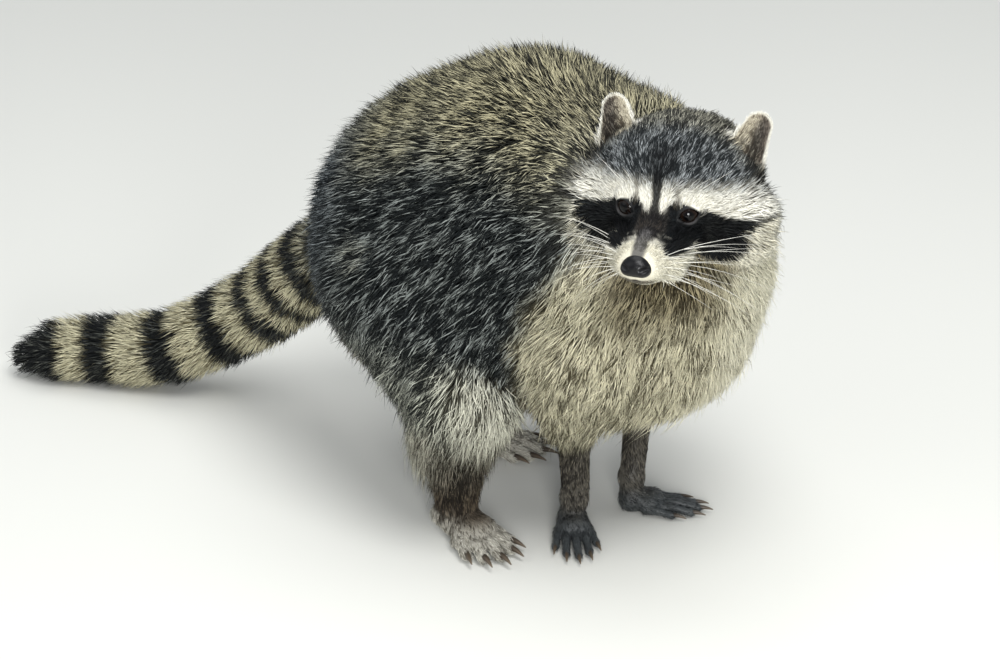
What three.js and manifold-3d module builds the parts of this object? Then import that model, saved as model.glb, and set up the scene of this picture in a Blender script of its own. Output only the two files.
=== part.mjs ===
// An adult raccoon, life size, as a still museum model. It stands hunched on gathered feet, its head is
// turned to its right and its tail lies out behind it on the floor.
//
// Millimetres, +Z up. The body faces -Y and its left side is +X. The origin is under the middle of the
// whole animal, on the floor. Each solid is the outer surface of the coat, and the parts are divided by
// thin cuts.

import * as THREE from "three";
import { mergeVertices } from "three/addons/utils/BufferGeometryUtils.js";
import Module from "manifold-3d";

const wasm = await Module();
wasm.setup();

const at = (x, y, z) => new THREE.Vector3(x, y, z);
const turned = (x, y, z) => new THREE.Euler(...[x, y, z].map(THREE.MathUtils.degToRad), "ZXY");

// ---------------------------------------------------------------- driving dimensions

const GAP = 0.3; // between neighbouring solids
const ROOM = 0.38; // that a surface moves at its corners to keep the gap
const FLOOR_DEPTH = 60; // of the block that trims the soles flat

// The trunk, from the rump forwards: middle and half sizes of each mass.
const TRUNK = {
  rump: { middle: at(0, 98, 204), half: at(116, 110, 128) },
  loin: { middle: at(0, 22, 240), half: at(123, 118, 134) },
  shoulders: { middle: at(0, -62, 228), half: at(110, 96, 120) },
  chest: { middle: at(0, -100, 196), half: at(78, 66, 80) },
  belly: { middle: at(0, 0, 174), half: at(104, 120, 70) },
};
const TRUNK_SOFTNESS = 46;
const TRUNK_SPINE = [at(0, 90, 205), at(0, 0, 222), at(0, -95, 210)];

const NECK = [
  { at: at(2, -66, 258), r: 80 },
  { at: at(2, -119, 242), r: 65 },
  { at: at(-10, -128, 300), r: 58 },
];

const NECK_SPINE = [at(2, -78, 256), at(-3, -122, 268)];
const NECK_ROOT = -66; // where the neck ends on a flat inside the trunk
const HIP_ROOT = 50; // the same for the thighs, out from the midline
const SHOULDER_ROOT = 50;

// The head, about the middle between its eyes: -y to the nose, +z up. What has a mirror is given for the left.
const HEAD = {
  place: at(-82.5, -145, 315.4),
  turn: turned(0, 0.7, -73),
  cranium: { middle: at(0, 60, 6), half: at(60, 58, 40) },
  brow: { middle: at(0, 32, 9), half: at(44, 36, 27) },
  cheek: { middle: at(46, 44, -22), half: at(37, 36, 37) },
  pad: { middle: at(9.5, -30, -28), half: at(12, 20, 11.5) },
  muzzle: [
    { at: at(0, 14, -15), r: 26 },
    { at: at(0, -20, -22), r: 16 },
    { at: at(0, -42, -25), r: 11.5 },
  ],
  jaw: [
    { at: at(0, 26, -38), r: 20 },
    { at: at(0, -28, -35), r: 8.5 },
  ],
};
const HEAD_SOFTNESS = 15;
const HEAD_BACK = 80; // where the head ends on a flat inside the neck
const SOCKET = { middle: at(22.5, -6, -2.5), half: at(11.5, 9, 8), softness: 6 };
const EYE = { middle: at(21.5, 4.5, -3), radius: 8.4 };
const NOSE = { middle: at(0, -50, -25), half: at(10.3, 9, 8.8) };

// An ear is a flat limb from its root to its tip, with a dish in its front.
const EAR = { root: at(45, 60, 18), tip: at(54.5, 73, 41), rootR: 19, tipR: 11.5, facing: 10, flat: 0.36, dish: 0.8 };

// The tail, from its root to its tip.
const TAIL = [
  { at: at(0, 190, 176), r: 38 },
  { at: at(4, 232, 144), r: 38 },
  { at: at(9, 290, 92), r: 36 },
  { at: at(4, 334, 61), r: 35 },
  { at: at(-12, 368, 42), r: 34 },
  { at: at(-24, 404, 32), r: 33 },
  { at: at(-37, 438, 29), r: 31 },
  { at: at(-52, 466, 26), r: 28 },
  { at: at(-62, 486, 20), r: 19 },
];
const TAIL_CUTS = [0.36, 0.68]; // shares of its length

// The limbs of each side, down to the wrist or ankle.
const FORELEG = {
  right: { shoulder: at(-70, -84, 184), elbow: at(-42, -48, 116), wrist: at(-28, -42, 28), r: [50, 31, 14, 11.5] },
  left: { shoulder: at(70, -88, 184), elbow: at(46, -54, 116), wrist: at(27, -58, 28), r: [50, 31, 12.5, 10.5] },
};
const HINDLEG = {
  right: { hip: at(-78, 90, 196), knee: at(-94, 16, 134), hem: at(-82, 36, 82), ankle: at(-86, 30, 32) },
  left: { hip: at(78, 94, 196), knee: at(92, 34, 134), hem: at(66, 72, 88), ankle: at(46, 92, 32) },
};
const THIGH_R = [58, 52, 38];
const SHANK_R = [26, 17];
const FILLET = { softness: 44, reach: 12 }; // where the neck, thighs and shoulders run into the trunk

// Hands and feet lie along -y from the heel of the sole, and turn about it. Toes are given from the inner one:
// place of the root, length and angle outwards.
const HAND = {
  place: { right: at(-22, -34, 0), left: at(22, -52, 0) },
  heading: { right: -51, left: 28 },
  wrist: at(0, -7, 28),
  palm: [
    { at: at(0, -7, 8.5), r: 8 },
    { at: at(0, -24, 9), r: 9.5 },
  ],
  width: 1.4, // of the palm against its height
  toes: [
    { root: at(11, -20, 5.5), length: 25, angle: 13 },
    { root: at(6.5, -28, 6.5), length: 31, angle: 6 },
    { root: at(0, -30, 7), length: 34, angle: 1 },
    { root: at(-6.5, -28, 6.5), length: 32, angle: -4 },
    { root: at(-11.5, -21, 5.5), length: 27, angle: -11 },
  ],
  toeR: [4.4, 3.6],
  claw: { length: 9, r: 1.7 },
};
const FOOT = {
  place: { right: at(-73, 56, 0), left: at(34, 134, 0) },
  heading: { right: -22, left: 16 },
  wrist: at(0, -30, 34),
  palm: [
    { at: at(0, -12, 11), r: 11.5 },
    { at: at(0, -54, 12), r: 14 },
  ],
  width: 1.25,
  toes: [
    { root: at(13, -50, 8), length: 27, angle: 17 },
    { root: at(9, -60, 9), length: 27, angle: 9 },
    { root: at(0, -64, 9.5), length: 28, angle: 0 },
    { root: at(-9, -61, 9), length: 27, angle: -8 },
    { root: at(-15, -52, 8), length: 25, angle: -16 },
  ],
  toeR: [7, 5.6],
  claw: { length: 12, r: 2.3 },
};

// ---------------------------------------------------------------- fields

/** Signed distance to an ellipsoid. */
function ellipsoid({ middle, half, turn = new THREE.Euler() }) {
  const back = new THREE.Quaternion().setFromEuler(turn).invert();
  const q = at(0, 0, 0);
  return (p) => {
    q.copy(p).sub(middle).applyQuaternion(back).divide(half);
    const near = q.length();
    const slope = q.divide(half).length();
    return slope < 1e-9 ? -Math.min(half.x, half.y, half.z) : (near * (near - 1)) / slope;
  };
}

/** Signed distance to a round limb through points of { at, r }, its radius going evenly from point to point. */
function limb(...joints) {
  const from = at(0, 0, 0);
  const along = at(0, 0, 0);
  return (p) => {
    let least = Infinity;
    for (let i = 1; i < joints.length; i++) {
      const [a, b] = [joints[i - 1], joints[i]];
      along.copy(b.at).sub(a.at);
      from.copy(p).sub(a.at);
      const share = THREE.MathUtils.clamp(from.dot(along) / along.lengthSq(), 0, 1);
      from.addScaledVector(along, -share);
      least = Math.min(least, from.length() - THREE.MathUtils.lerp(a.r, b.r, share));
    }
    return least;
  };
}

/** A field flattened along y and set in place. */
function flattened(field, { place = at(0, 0, 0), turn = new THREE.Euler(), flat }) {
  const back = new THREE.Quaternion().setFromEuler(turn).invert();
  const q = at(0, 0, 0);
  return (p) => {
    q.copy(p).sub(place).applyQuaternion(back);
    q.y /= flat;
    return field(q) * Math.min(flat, 1);
  };
}

/** A field that runs into its neighbour with a fillet, no further than reach from its own surface. */
function filleted(own, neighbour) {
  const joined = blend(FILLET.softness, own, neighbour);
  return (p) => Math.max(joined(p), own(p) - FILLET.reach);
}

/** The union of fields, rounded where they meet by about softness. */
function blend(softness, ...fields) {
  return (p) =>
    fields.map((field) => field(p)).reduce((a, b) => {
      const near = Math.max(softness - Math.abs(a - b), 0);
      return Math.min(a, b) - (near * near) / (4 * softness);
    });
}

/** A field with a hollow taken out of it, its edge rounded by about softness. */
function hollowed(softness, base, tool) {
  const negative = blend(softness, (p) => -base(p), tool);
  return (p) => -negative(p);
}

// ---------------------------------------------------------------- surfaces

/** A closed surface round a spine: rings of rays go out from it, and fan out over its two ends, to the field's zero. */
function wrap(field, spine, { rings, sides, fan = 0.25 }) {
  const curve = spine.length > 2 ? new THREE.CatmullRomCurve3(spine) : new THREE.LineCurve3(...spine);
  const chord = spine.at(-1).clone().sub(spine[0]).normalize();
  const upright = Math.abs(chord.z) > 0.8 ? at(0, 1, 0) : at(0, 0, 1);
  const positions = [];
  const ray = (share, side) => {
    const run = THREE.MathUtils.clamp((share - fan) / (1 - 2 * fan), 0, 1);
    const lean = share < fan ? share / fan - 1 : share > 1 - fan ? (share - 1 + fan) / fan : 0;
    const start = curve.getPoint(run);
    const forward = curve.getTangent(run).normalize();
    const across = at(0, 0, 0).crossVectors(forward, upright).normalize();
    const over = at(0, 0, 0).crossVectors(across, forward);
    const turn = (2 * Math.PI * side) / sides;
    const swing = (lean * Math.PI) / 2;
    const aim = across.multiplyScalar(Math.cos(turn)).addScaledVector(over, Math.sin(turn));
    aim.multiplyScalar(Math.cos(swing)).addScaledVector(forward, Math.sin(swing));
    const tip = start.clone();
    let depth = field(tip);
    for (let step = 0; step < 80 && Math.abs(depth) > 0.02; step++) {
      tip.addScaledVector(aim, -depth * 0.85);
      depth = field(tip);
    }
    positions.push(tip.x, tip.y, tip.z);
  };
  ray(0, 0);
  for (let ring = 1; ring < rings; ring++) {
    for (let side = 0; side < sides; side++) ray(ring / rings, side);
  }
  ray(1, 0);
  const last = positions.length / 3 - 1;
  const vertex = (ring, side) => 1 + (ring - 1) * sides + (side % sides);
  const faces = [];
  for (let side = 0; side < sides; side++) {
    faces.push(0, vertex(1, side), vertex(1, side + 1));
    for (let ring = 1; ring < rings - 1; ring++) {
      const [a, b] = [vertex(ring, side), vertex(ring, side + 1)];
      const [c, d] = [vertex(ring + 1, side), vertex(ring + 1, side + 1)];
      faces.push(a, c, b, b, c, d);
    }
    faces.push(last, vertex(rings - 1, side + 1), vertex(rings - 1, side));
  }
  const geometry = new THREE.BufferGeometry();
  geometry.setAttribute("position", new THREE.Float32BufferAttribute(positions, 3));
  return geometry.setIndex(faces);
}

/** A surface moved outwards by a distance. */
function swollen(geometry, distance) {
  const grown = geometry.clone();
  grown.computeVertexNormals();
  const [position, normal] = [grown.getAttribute("position"), grown.getAttribute("normal")];
  for (let i = 0; i < position.count; i++) {
    const moved = at(0, 0, 0).fromBufferAttribute(normal, i).multiplyScalar(distance);
    moved.add(at(0, 0, 0).fromBufferAttribute(position, i));
    position.setXYZ(i, moved.x, moved.y, moved.z);
  }
  return grown;
}

// ---------------------------------------------------------------- joining and cutting

function solidOf(geometry, matrix = new THREE.Matrix4()) {
  const bare = new THREE.BufferGeometry().setAttribute("position", geometry.getAttribute("position").clone());
  const merged = mergeVertices(bare.setIndex(geometry.index).applyMatrix4(matrix), 1e-4);
  const vertProperties = merged.getAttribute("position").array;
  return new wasm.Manifold(new wasm.Mesh({ numProp: 3, vertProperties, triVerts: new Uint32Array(merged.index.array) }));
}

function geometryOf(solid) {
  const mesh = solid.getMesh();
  const geometry = new THREE.BufferGeometry();
  geometry.setAttribute("position", new THREE.BufferAttribute(mesh.vertProperties, 3));
  geometry.setIndex(new THREE.BufferAttribute(mesh.triVerts, 1));
  geometry.computeVertexNormals();
  return geometry;
}

const placed = (place, turn) => new THREE.Matrix4().compose(place, new THREE.Quaternion().setFromEuler(turn), at(1, 1, 1));
const mirrored = (v, side) => at(v.x * side, v.y, v.z);
const SIDES = { left: 1, right: -1 };

const floor = solidOf(
  new THREE.BoxGeometry(2000, 2000, FLOOR_DEPTH),
  new THREE.Matrix4().makeTranslation(0, 0, -FLOOR_DEPTH / 2)
);

/** A thin slab across an axis, for parting a solid. */
function slab(middle, axis) {
  const q = new THREE.Quaternion().setFromUnitVectors(at(0, 0, 1), axis);
  return solidOf(new THREE.BoxGeometry(300, 300, GAP), new THREE.Matrix4().compose(middle, q, at(1, 1, 1)));
}

/** The pieces of a cut solid, in order along an axis. */
function pieces(solid, axis) {
  const along = (part) => {
    const { min, max } = part.boundingBox();
    return at(...min).add(at(...max)).dot(axis);
  };
  const whole = solid.decompose().filter((part) => part.volume() > 1);
  return whole.sort((a, b) => along(a) - along(b));
}

/** A block that takes away what lies beyond a plane, some way out from it. */
function beyond({ point, normal }, out = 0) {
  const q = new THREE.Quaternion().setFromUnitVectors(at(0, 0, 1), normal);
  const middle = point.clone().addScaledVector(normal, 200 + out);
  return solidOf(new THREE.BoxGeometry(400, 400, 400), new THREE.Matrix4().compose(middle, q, at(1, 1, 1)));
}

/** A solid that may end on a plane, and the room that its neighbours leave for it. */
function shape(geometry, { end, matrix } = {}) {
  const trimmed = (surface, out) => {
    const whole = solidOf(surface, matrix);
    return end ? whole.subtract(beyond(end, out)) : whole;
  };
  return { solid: trimmed(geometry, 0), room: trimmed(swollen(geometry, ROOM), ROOM) };
}

const limbShape = (joints, options) => shape(wrap(limb(...joints), joints.map((joint) => joint.at), options));

function blobShape(field, middle, options) {
  const spine = [-1, 1].map((end) => middle.clone().setY(middle.y + end));
  return shape(wrap(field, spine, { fan: 0.45, ...options }));
}

function body(name, solid, color, roughness = 0.9) {
  const material = new THREE.MeshStandardMaterial({ color, roughness, metalness: 0 });
  const mesh = new THREE.Mesh(geometryOf(solid), material);
  mesh.name = name;
  return mesh;
}

// ---------------------------------------------------------------- head

const onSide = ({ middle, half, turn }, side) => ellipsoid({ middle: mirrored(middle, side), half, turn });
const both = (blob) => Object.values(SIDES).map((side) => onSide(blob, side));
const skull = blend(
  HEAD_SOFTNESS,
  ellipsoid(HEAD.cranium),
  ellipsoid(HEAD.brow),
  ...both(HEAD.cheek),
  ...both(HEAD.pad),
  limb(...HEAD.muzzle),
  limb(...HEAD.jaw)
);
const headField = hollowed(SOCKET.softness, skull, blend(1, ...both(SOCKET)));
const HEAD_SPINE = [at(0, -34, -25), at(0, 8, -16), at(0, 60, -2)];
const skullShape = shape(wrap(headField, HEAD_SPINE, { rings: 21, sides: 21, fan: 0.22 }), {
  end: { point: at(0, HEAD_BACK, 0), normal: at(0, 1, 0) },
});

function eyeShape(side) {
  const middle = mirrored(EYE.middle, side);
  const half = at(EYE.radius, EYE.radius, EYE.radius);
  return blobShape(ellipsoid({ middle, half }), middle, { rings: 6, sides: 10 });
}
const noseShape = blobShape(ellipsoid(NOSE), NOSE.middle, { rings: 6, sides: 10 });

function earShape(side) {
  const lean = EAR.tip.clone().sub(EAR.root);
  const tipUp = lean.length();
  const turn = turned(
    THREE.MathUtils.radToDeg(Math.asin(-lean.y / tipUp)),
    THREE.MathUtils.radToDeg(Math.atan2(lean.x * side, lean.z)),
    side * EAR.facing
  );
  const place = mirrored(EAR.root, side);
  const spread = (r) => [{ at: at(0, 0, -6), r: EAR.rootR * r }, { at: at(0, 0, tipUp), r: EAR.tipR * r }];
  const leaf = (r, forwards, options) => {
    const field = flattened(limb(...spread(r)), { flat: EAR.flat });
    const spine = [at(0, 0, -4), at(0, 0, tipUp - 2)];
    const matrix = placed(place, turn).multiply(new THREE.Matrix4().makeTranslation(0, -forwards, 0));
    return shape(wrap(field, spine, options), { matrix });
  };
  const { solid, room } = leaf(1, 0, { rings: 7, sides: 12, fan: 0.3 });
  const dish = leaf(EAR.dish, EAR.rootR * EAR.flat * 0.62, { rings: 5, sides: 8, fan: 0.3 });
  return { solid: solid.subtract(dish.solid).subtract(skullShape.room), room };
}

const headGroup = new THREE.Group();
headGroup.position.copy(HEAD.place);
headGroup.rotation.copy(HEAD.turn);
let head = skullShape.solid.subtract(noseShape.room);
let headRoom = skullShape.room;
for (const [name, side] of Object.entries(SIDES)) {
  const [eye, ear] = [eyeShape(side), earShape(side)];
  head = head.subtract(eye.room);
  headRoom = headRoom.add(ear.room);
  headGroup.add(body(`eye_${name}`, eye.solid, 0x120c09, 0.15), body(`ear_${name}`, ear.solid, 0x8a8378));
}
headGroup.add(body("nose", noseShape.solid, 0x17130f, 0.3), body("head", head, 0x8d867a));

// ---------------------------------------------------------------- hands and feet

/** A claw along -y from the origin, which curves down to a blunt tip. */
function clawShape({ length, r }, matrix) {
  const geometry = new THREE.CylinderGeometry(0.6, r, length + 3, 5, 2);
  geometry.rotateX(Math.PI).translate(0, 3 - (length + 3) / 2, 0);
  const position = geometry.getAttribute("position");
  for (let i = 0; i < position.count; i++) {
    const out = Math.max(-position.getY(i), 0) / length;
    position.setZ(i, position.getZ(i) * 1.2 - r * 0.9 * out * out);
  }
  return solidOf(geometry, matrix);
}

/** The sole and ankle of a hand or foot, about the heel of its sole. */
function soleShape({ wrist, palm, width }, matrix) {
  const wide = limb(...palm);
  const sole = (p) => wide(at(p.x / width, p.y, p.z));
  const rise = limb({ at: at(0, wrist.y, palm[0].r), r: palm[0].r * 0.95 }, { at: wrist, r: palm[0].r * 1.2 });
  const spine = palm.map((joint) => joint.at);
  return shape(wrap(blend(8, sole, rise), spine, { rings: 6, sides: 10, fan: 0.3 }), { matrix });
}

/** One hand or foot, about the heel of its sole: the sole with its toes, and the claws. */
function paw(kind, side) {
  const { toes, toeR, claw } = kind;
  let { solid } = soleShape(kind);
  const claws = [];
  for (const { root, length, angle } of toes) {
    const out = THREE.MathUtils.degToRad(angle);
    const start = at(-root.x * side, root.y, root.z);
    const heading = at(-Math.sin(out) * side, -Math.cos(out), 0);
    const tip = start.clone().addScaledVector(heading, length - toeR[1]).setZ(toeR[1] + 0.6);
    const knuckle = start.clone().lerp(tip, 0.45).setZ(root.z + toeR[0] * 0.2);
    const joints = [{ at: start, r: toeR[0] }, { at: knuckle, r: toeR[1] * 1.02 }, { at: tip, r: toeR[1] }];
    const toe = limbShape(joints, { rings: 5, sides: 6, fan: 0.25 });
    solid = solid.add(toe.solid);
    const turn = turned(0, 0, -angle * side);
    const nail = tip.clone().addScaledVector(heading, toeR[1] - 1).add(at(0, 0, toeR[1] * 0.3));
    claws.push(clawShape(claw, placed(nail, turn)).subtract(toe.room));
  }
  return { sole: solid, claws };
}

const model = new THREE.Group();
model.add(headGroup);

const soles = {};
for (const [name, side] of Object.entries(SIDES)) {
  for (const [kind, what] of [[HAND, "hand"], [FOOT, "foot"]]) {
    const group = new THREE.Group();
    group.position.copy(kind.place[name]);
    group.rotation.z = THREE.MathUtils.degToRad(kind.heading[name]);
    group.updateMatrix();
    soles[`${what}_${name}`] = soleShape(kind, group.matrix).room;
    const { sole, claws } = paw(kind, side);
    group.add(body(`${what}_${name}`, sole.subtract(floor), 0x2c2723));
    claws.forEach((claw, i) => group.add(body(`claw_${what}_${name}_${i + 1}`, claw, 0x5d4d3f, 0.5)));
    model.add(group);
  }
}

// ---------------------------------------------------------------- neck, trunk and tail

headGroup.updateMatrix();
const headInPlace = solidOf(geometryOf(headRoom), headGroup.matrix);

const trunkField = blend(TRUNK_SOFTNESS, ...Object.values(TRUNK).map(ellipsoid));
const joinedShape = (joints, spine, options, end) =>
  shape(wrap(filleted(limb(...joints), trunkField), spine, options), { end });

const neckEnd = { point: at(0, NECK_ROOT, 0), normal: at(0, 1, 0) };
const neck = joinedShape(NECK, NECK_SPINE, { rings: 9, sides: 13, fan: 0.3 }, neckEnd);
const tail = limbShape(TAIL, { rings: 19, sides: 10, fan: 0.12 });

model.add(body("neck", pieces(neck.solid.subtract(headInPlace), at(0, 1, 0))[0], 0x8b8478));
let trunk = solidOf(wrap(trunkField, TRUNK_SPINE, { rings: 16, sides: 21, fan: 0.26 }));
trunk = trunk.subtract(neck.room).subtract(headInPlace).subtract(tail.room);

const tailCurve = new THREE.CatmullRomCurve3(TAIL.map((joint) => joint.at));
const tailCuts = TAIL_CUTS.map((share) => slab(tailCurve.getPoint(share), tailCurve.getTangent(share)));
const lengths = pieces(tailCuts.reduce((rest, cut) => rest.subtract(cut), tail.solid.subtract(floor)), at(0, 1, 0));
["root", "middle", "tip"].forEach((name, i) => model.add(body(`tail_${name}`, lengths[i], 0x8a8172)));

// ---------------------------------------------------------------- limbs

for (const [name, side] of Object.entries(SIDES)) {
  const { hip, knee, hem, ankle } = HINDLEG[name];
  const thighJoints = [hip, knee, hem].map((place, i) => ({ at: place, r: THIGH_R[i] }));
  const thighSpine = [hip.clone().lerp(knee, 0.25), hem.clone().lerp(knee, 0.3)];
  const thighEnd = { point: at(HIP_ROOT * side, 0, 0), normal: at(-side, 0, 0) };
  const thigh = joinedShape(thighJoints, thighSpine, { rings: 9, sides: 13, fan: 0.3 }, thighEnd);
  const shankJoints = [{ at: knee.clone().lerp(ankle, 0.3), r: SHANK_R[0] }, { at: ankle, r: SHANK_R[1] }];
  const shank = limbShape(shankJoints, { rings: 5, sides: 10, fan: 0.25 });
  const shankPart = shank.solid.subtract(soles[`foot_${name}`]);
  model.add(body(`thigh_${name}`, thigh.solid.subtract(shank.room), 0x7d766b));
  model.add(body(`shank_${name}`, pieces(shankPart, at(0, 0, 1))[0], 0x3a332d));

  const { shoulder, elbow, wrist, r } = FORELEG[name];
  const upperJoints = [{ at: shoulder, r: r[0] }, { at: elbow, r: r[1] }];
  const upperEnd = { point: shoulder.clone().setX(SHOULDER_ROOT * side), normal: at(-side * 0.8, 0, 0.6) };
  const upper = joinedShape(upperJoints, [shoulder, elbow], { rings: 7, sides: 10, fan: 0.35 }, upperEnd);
  const lowerJoints = [{ at: elbow.clone().lerp(wrist, 0.1), r: r[2] }, { at: wrist, r: r[3] }];
  const lower = limbShape(lowerJoints, { rings: 5, sides: 10, fan: 0.25 });
  const upperPart = [neck.room, headInPlace, thigh.room, lower.room].reduce((a, b) => a.subtract(b), upper.solid);
  const lowerPart = lower.solid.subtract(soles[`hand_${name}`]);
  model.add(body(`upper_foreleg_${name}`, pieces(upperPart, at(0, 0, 1))[0], 0x7d766b));
  model.add(body(`forearm_${name}`, pieces(lowerPart, at(0, 0, 1)).at(-1), 0x3a332d));

  trunk = [thigh, upper, shank, lower].reduce((rest, part) => rest.subtract(part.room), trunk);
}
model.add(body("trunk", pieces(trunk, at(0, 0, 1)).at(-1), 0x6d665b));

// ---------------------------------------------------------------- the whole, over its origin

model.updateMatrixWorld(true);
const box = new THREE.Box3().setFromObject(model, true);
const middle = box.getCenter(at(0, 0, 0));
model.position.set(-middle.x, -middle.y, 0);

export default model;
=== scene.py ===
"""An adult raccoon, life size, as a still studio model: one skin under a coat of modelled tufts.

Shapes are worked out in millimetres about the body's own origin, from the same driving dimensions as
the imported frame. They move to the frame's place, in metres, when their meshes are made. The body faces
-Y and its left side is +X. A head, ear, hand or foot is worked out in its own frame and then placed.
"""

from __future__ import annotations

import itertools
import logging
import math
from dataclasses import astuple, dataclass
from enum import Enum
from typing import Callable, Sequence

import bpy
import numpy as np
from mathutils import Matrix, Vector

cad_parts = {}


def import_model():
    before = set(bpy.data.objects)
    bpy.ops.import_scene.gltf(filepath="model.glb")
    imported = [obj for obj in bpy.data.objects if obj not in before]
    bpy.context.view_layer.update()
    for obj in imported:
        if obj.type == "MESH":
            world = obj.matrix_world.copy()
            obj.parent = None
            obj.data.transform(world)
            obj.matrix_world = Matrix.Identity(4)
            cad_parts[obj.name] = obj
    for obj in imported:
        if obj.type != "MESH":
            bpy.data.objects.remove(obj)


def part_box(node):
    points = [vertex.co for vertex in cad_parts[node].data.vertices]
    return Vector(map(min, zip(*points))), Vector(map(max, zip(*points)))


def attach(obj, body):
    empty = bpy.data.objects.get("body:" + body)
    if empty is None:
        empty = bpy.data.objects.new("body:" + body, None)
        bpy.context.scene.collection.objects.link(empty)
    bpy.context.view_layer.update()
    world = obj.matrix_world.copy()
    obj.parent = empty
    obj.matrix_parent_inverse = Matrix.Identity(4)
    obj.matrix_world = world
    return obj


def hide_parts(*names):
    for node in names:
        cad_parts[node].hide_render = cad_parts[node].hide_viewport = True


LOG = logging.getLogger("raccoon")

Array = np.ndarray
Field = Callable[[Array], Array]
Triple = tuple[float, float, float]

FAR = 60.0  # mm, a distance that stands for "nowhere near"
ROUND = 22.0  # mm, how far past its softness a form is worked out round its box
TONE = "tone"  # the attribute that holds each point's colour
PATCH = 0.003  # how wide a tuft's patch is on the bake's unwrap
ROOT = "root"  # the body that every piece rides on
UP = np.array([[0.0, 0.0, 1.0]])


# ---------------- sums on many points at once


def ease(value: Array, low: float, high: float) -> Array:
    """A smooth rise from 0 at low to 1 at high, or a fall where low is the greater."""
    share = np.clip((value - low) / (high - low), 0, 1)
    return share * share * (3 - 2 * share)


def unit(vectors: Array) -> Array:
    """The vectors at length 1."""
    return vectors / np.maximum(np.linalg.norm(vectors, axis=-1, keepdims=True), 1e-9)


def along_skin(vectors: Array, normals: Array) -> Array:
    """The part of each vector that lies along the skin, at length 1."""
    flat = vectors - normals * (vectors * normals).sum(1, keepdims=True)
    return unit(flat)


def rise(low: Array, high: Array, softness: float) -> Array:
    """The lesser of two fields, rounded where they meet by about softness."""
    near = np.maximum(softness - np.abs(low - high), 0)
    return np.minimum(low, high) - near * near / (4 * softness)


def ripple(points: Array, scale: float, seed: int) -> Array:
    """A smooth, uneven wave over space, from about -1 to 1.

    Args:
        points: Where it is read, in millimetres.
        scale: The usual length of a wave, in millimetres.
        seed: Which wave it is.

    Returns:
        The wave at each point.
    """
    draw = np.random.default_rng(seed)
    waves = draw.normal(size=(7, 3)) * (2 * math.pi / scale) * 0.7
    starts = draw.uniform(0, 2 * math.pi, 7)
    return np.sin(points @ waves.T + starts).sum(1) / 3.2


def locks(points: Array, cell: float, seed: int) -> tuple[Array, Array]:
    """The nearest lock to each point, out of one placed by chance in each cell of space.

    Args:
        points: Where the roots are, in millimetres.
        cell: The usual distance between locks.
        seed: Which spread of locks it is.

    Returns:
        The middle of each point's lock, and a number from 0 to 1 that all of a lock shares.
    """
    base = np.floor(points / cell).astype(np.int64)
    best = np.full(len(points), np.inf)
    middle = np.zeros_like(points)
    token = np.zeros(len(points))
    for step in itertools.product((-1, 0, 1), repeat=3):
        cells = base + step
        mixed = (cells * (73856093, 19349663, 83492791)).sum(1) + seed * 7919
        chance = []
        for turn in range(4):
            mixed = (mixed * 1103515245 + 12345 + turn) % 2147483647
            chance.append(mixed / 2147483647.0)
        centre = (cells + np.stack(chance[:3], 1)) * cell
        distance = ((points - centre) ** 2).sum(1)
        nearer = distance < best
        best[nearer] = distance[nearer]
        middle[nearer] = centre[nearer]
        token[nearer] = chance[3][nearer]
    return middle, token


# ---------------- fields of signed distance


@dataclass(frozen=True)
class Ellipsoid:
    """An ellipsoid by its middle and half sizes."""

    middle: Triple
    half: Triple

    def __call__(self, points: Array) -> Array:
        """The signed distance of each point."""
        near = (points - self.middle) / self.half
        length = np.linalg.norm(near, axis=1)
        slope = np.linalg.norm(near / self.half, axis=1)
        return length * (length - 1) / np.maximum(slope, 1e-9)


@dataclass(frozen=True)
class Limb:
    """A round limb through joints of x, y, z and radius."""

    joints: tuple[tuple[float, float, float, float], ...]

    def __call__(self, points: Array) -> Array:
        """The signed distance of each point.

        Args:
            points: Where.

        Returns:
            The distances.
        """
        least = np.full(len(points), np.inf)
        for start, end in zip(self.joints, self.joints[1:]):
            along = np.subtract(end[:3], start[:3])
            off = points - start[:3]
            share = np.clip(off @ along / max(along @ along, 1e-9), 0, 1)
            reach = np.linalg.norm(off - share[:, None] * along, axis=1)
            least = np.minimum(least, reach - (start[3] + (end[3] - start[3]) * share))
        return least

    def along(self, points: Array) -> tuple[Array, Array, Array]:
        """Where each point lies by the limb.

        Args:
            points: Where.

        Returns:
            How far along each is, from 0 to 1, the limb's direction there and the way out to the point.
        """
        spans = [np.subtract(b[:3], a[:3]) for a, b in zip(self.joints, self.joints[1:])]
        lengths = [float(np.linalg.norm(span)) for span in spans]
        best = np.full(len(points), np.inf)
        run = np.zeros(len(points))
        heading, out = np.zeros((len(points), 3)), np.zeros((len(points), 3))
        before = 0.0
        for start, span, length in zip(self.joints, spans, lengths):
            off = points - start[:3]
            share = np.clip(off @ span / (length * length), 0, 1)
            off = off - share[:, None] * span
            reach = np.linalg.norm(off, axis=1)
            nearer = reach < best
            best[nearer] = reach[nearer]
            run[nearer] = (before + share[nearer] * length) / sum(lengths)
            heading[nearer] = span / length
            out[nearer] = off[nearer]
            before += length
        return run, heading, out


def blend(softness: float, *fields: Field) -> Field:
    """The union of fields, rounded where they meet.

    Args:
        softness: How wide the rounding is.
        fields: What is joined.

    Returns:
        The union.
    """

    def joined(points: Array) -> Array:
        """The signed distance of them all."""
        out = fields[0](points)
        for other in fields[1:]:
            out = rise(out, other(points), softness)
        return out

    return joined


def hollowed(softness: float, base: Field, tool: Field) -> Field:
    """A field with a hollow taken out of it, its edge rounded."""
    return lambda points: -rise(-base(points), tool(points), softness)


def mirrored(point: Sequence[float], side: int) -> tuple[float, ...]:
    """A point of the left side, on the side wanted."""
    return (point[0] * side, *point[1:])


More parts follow.
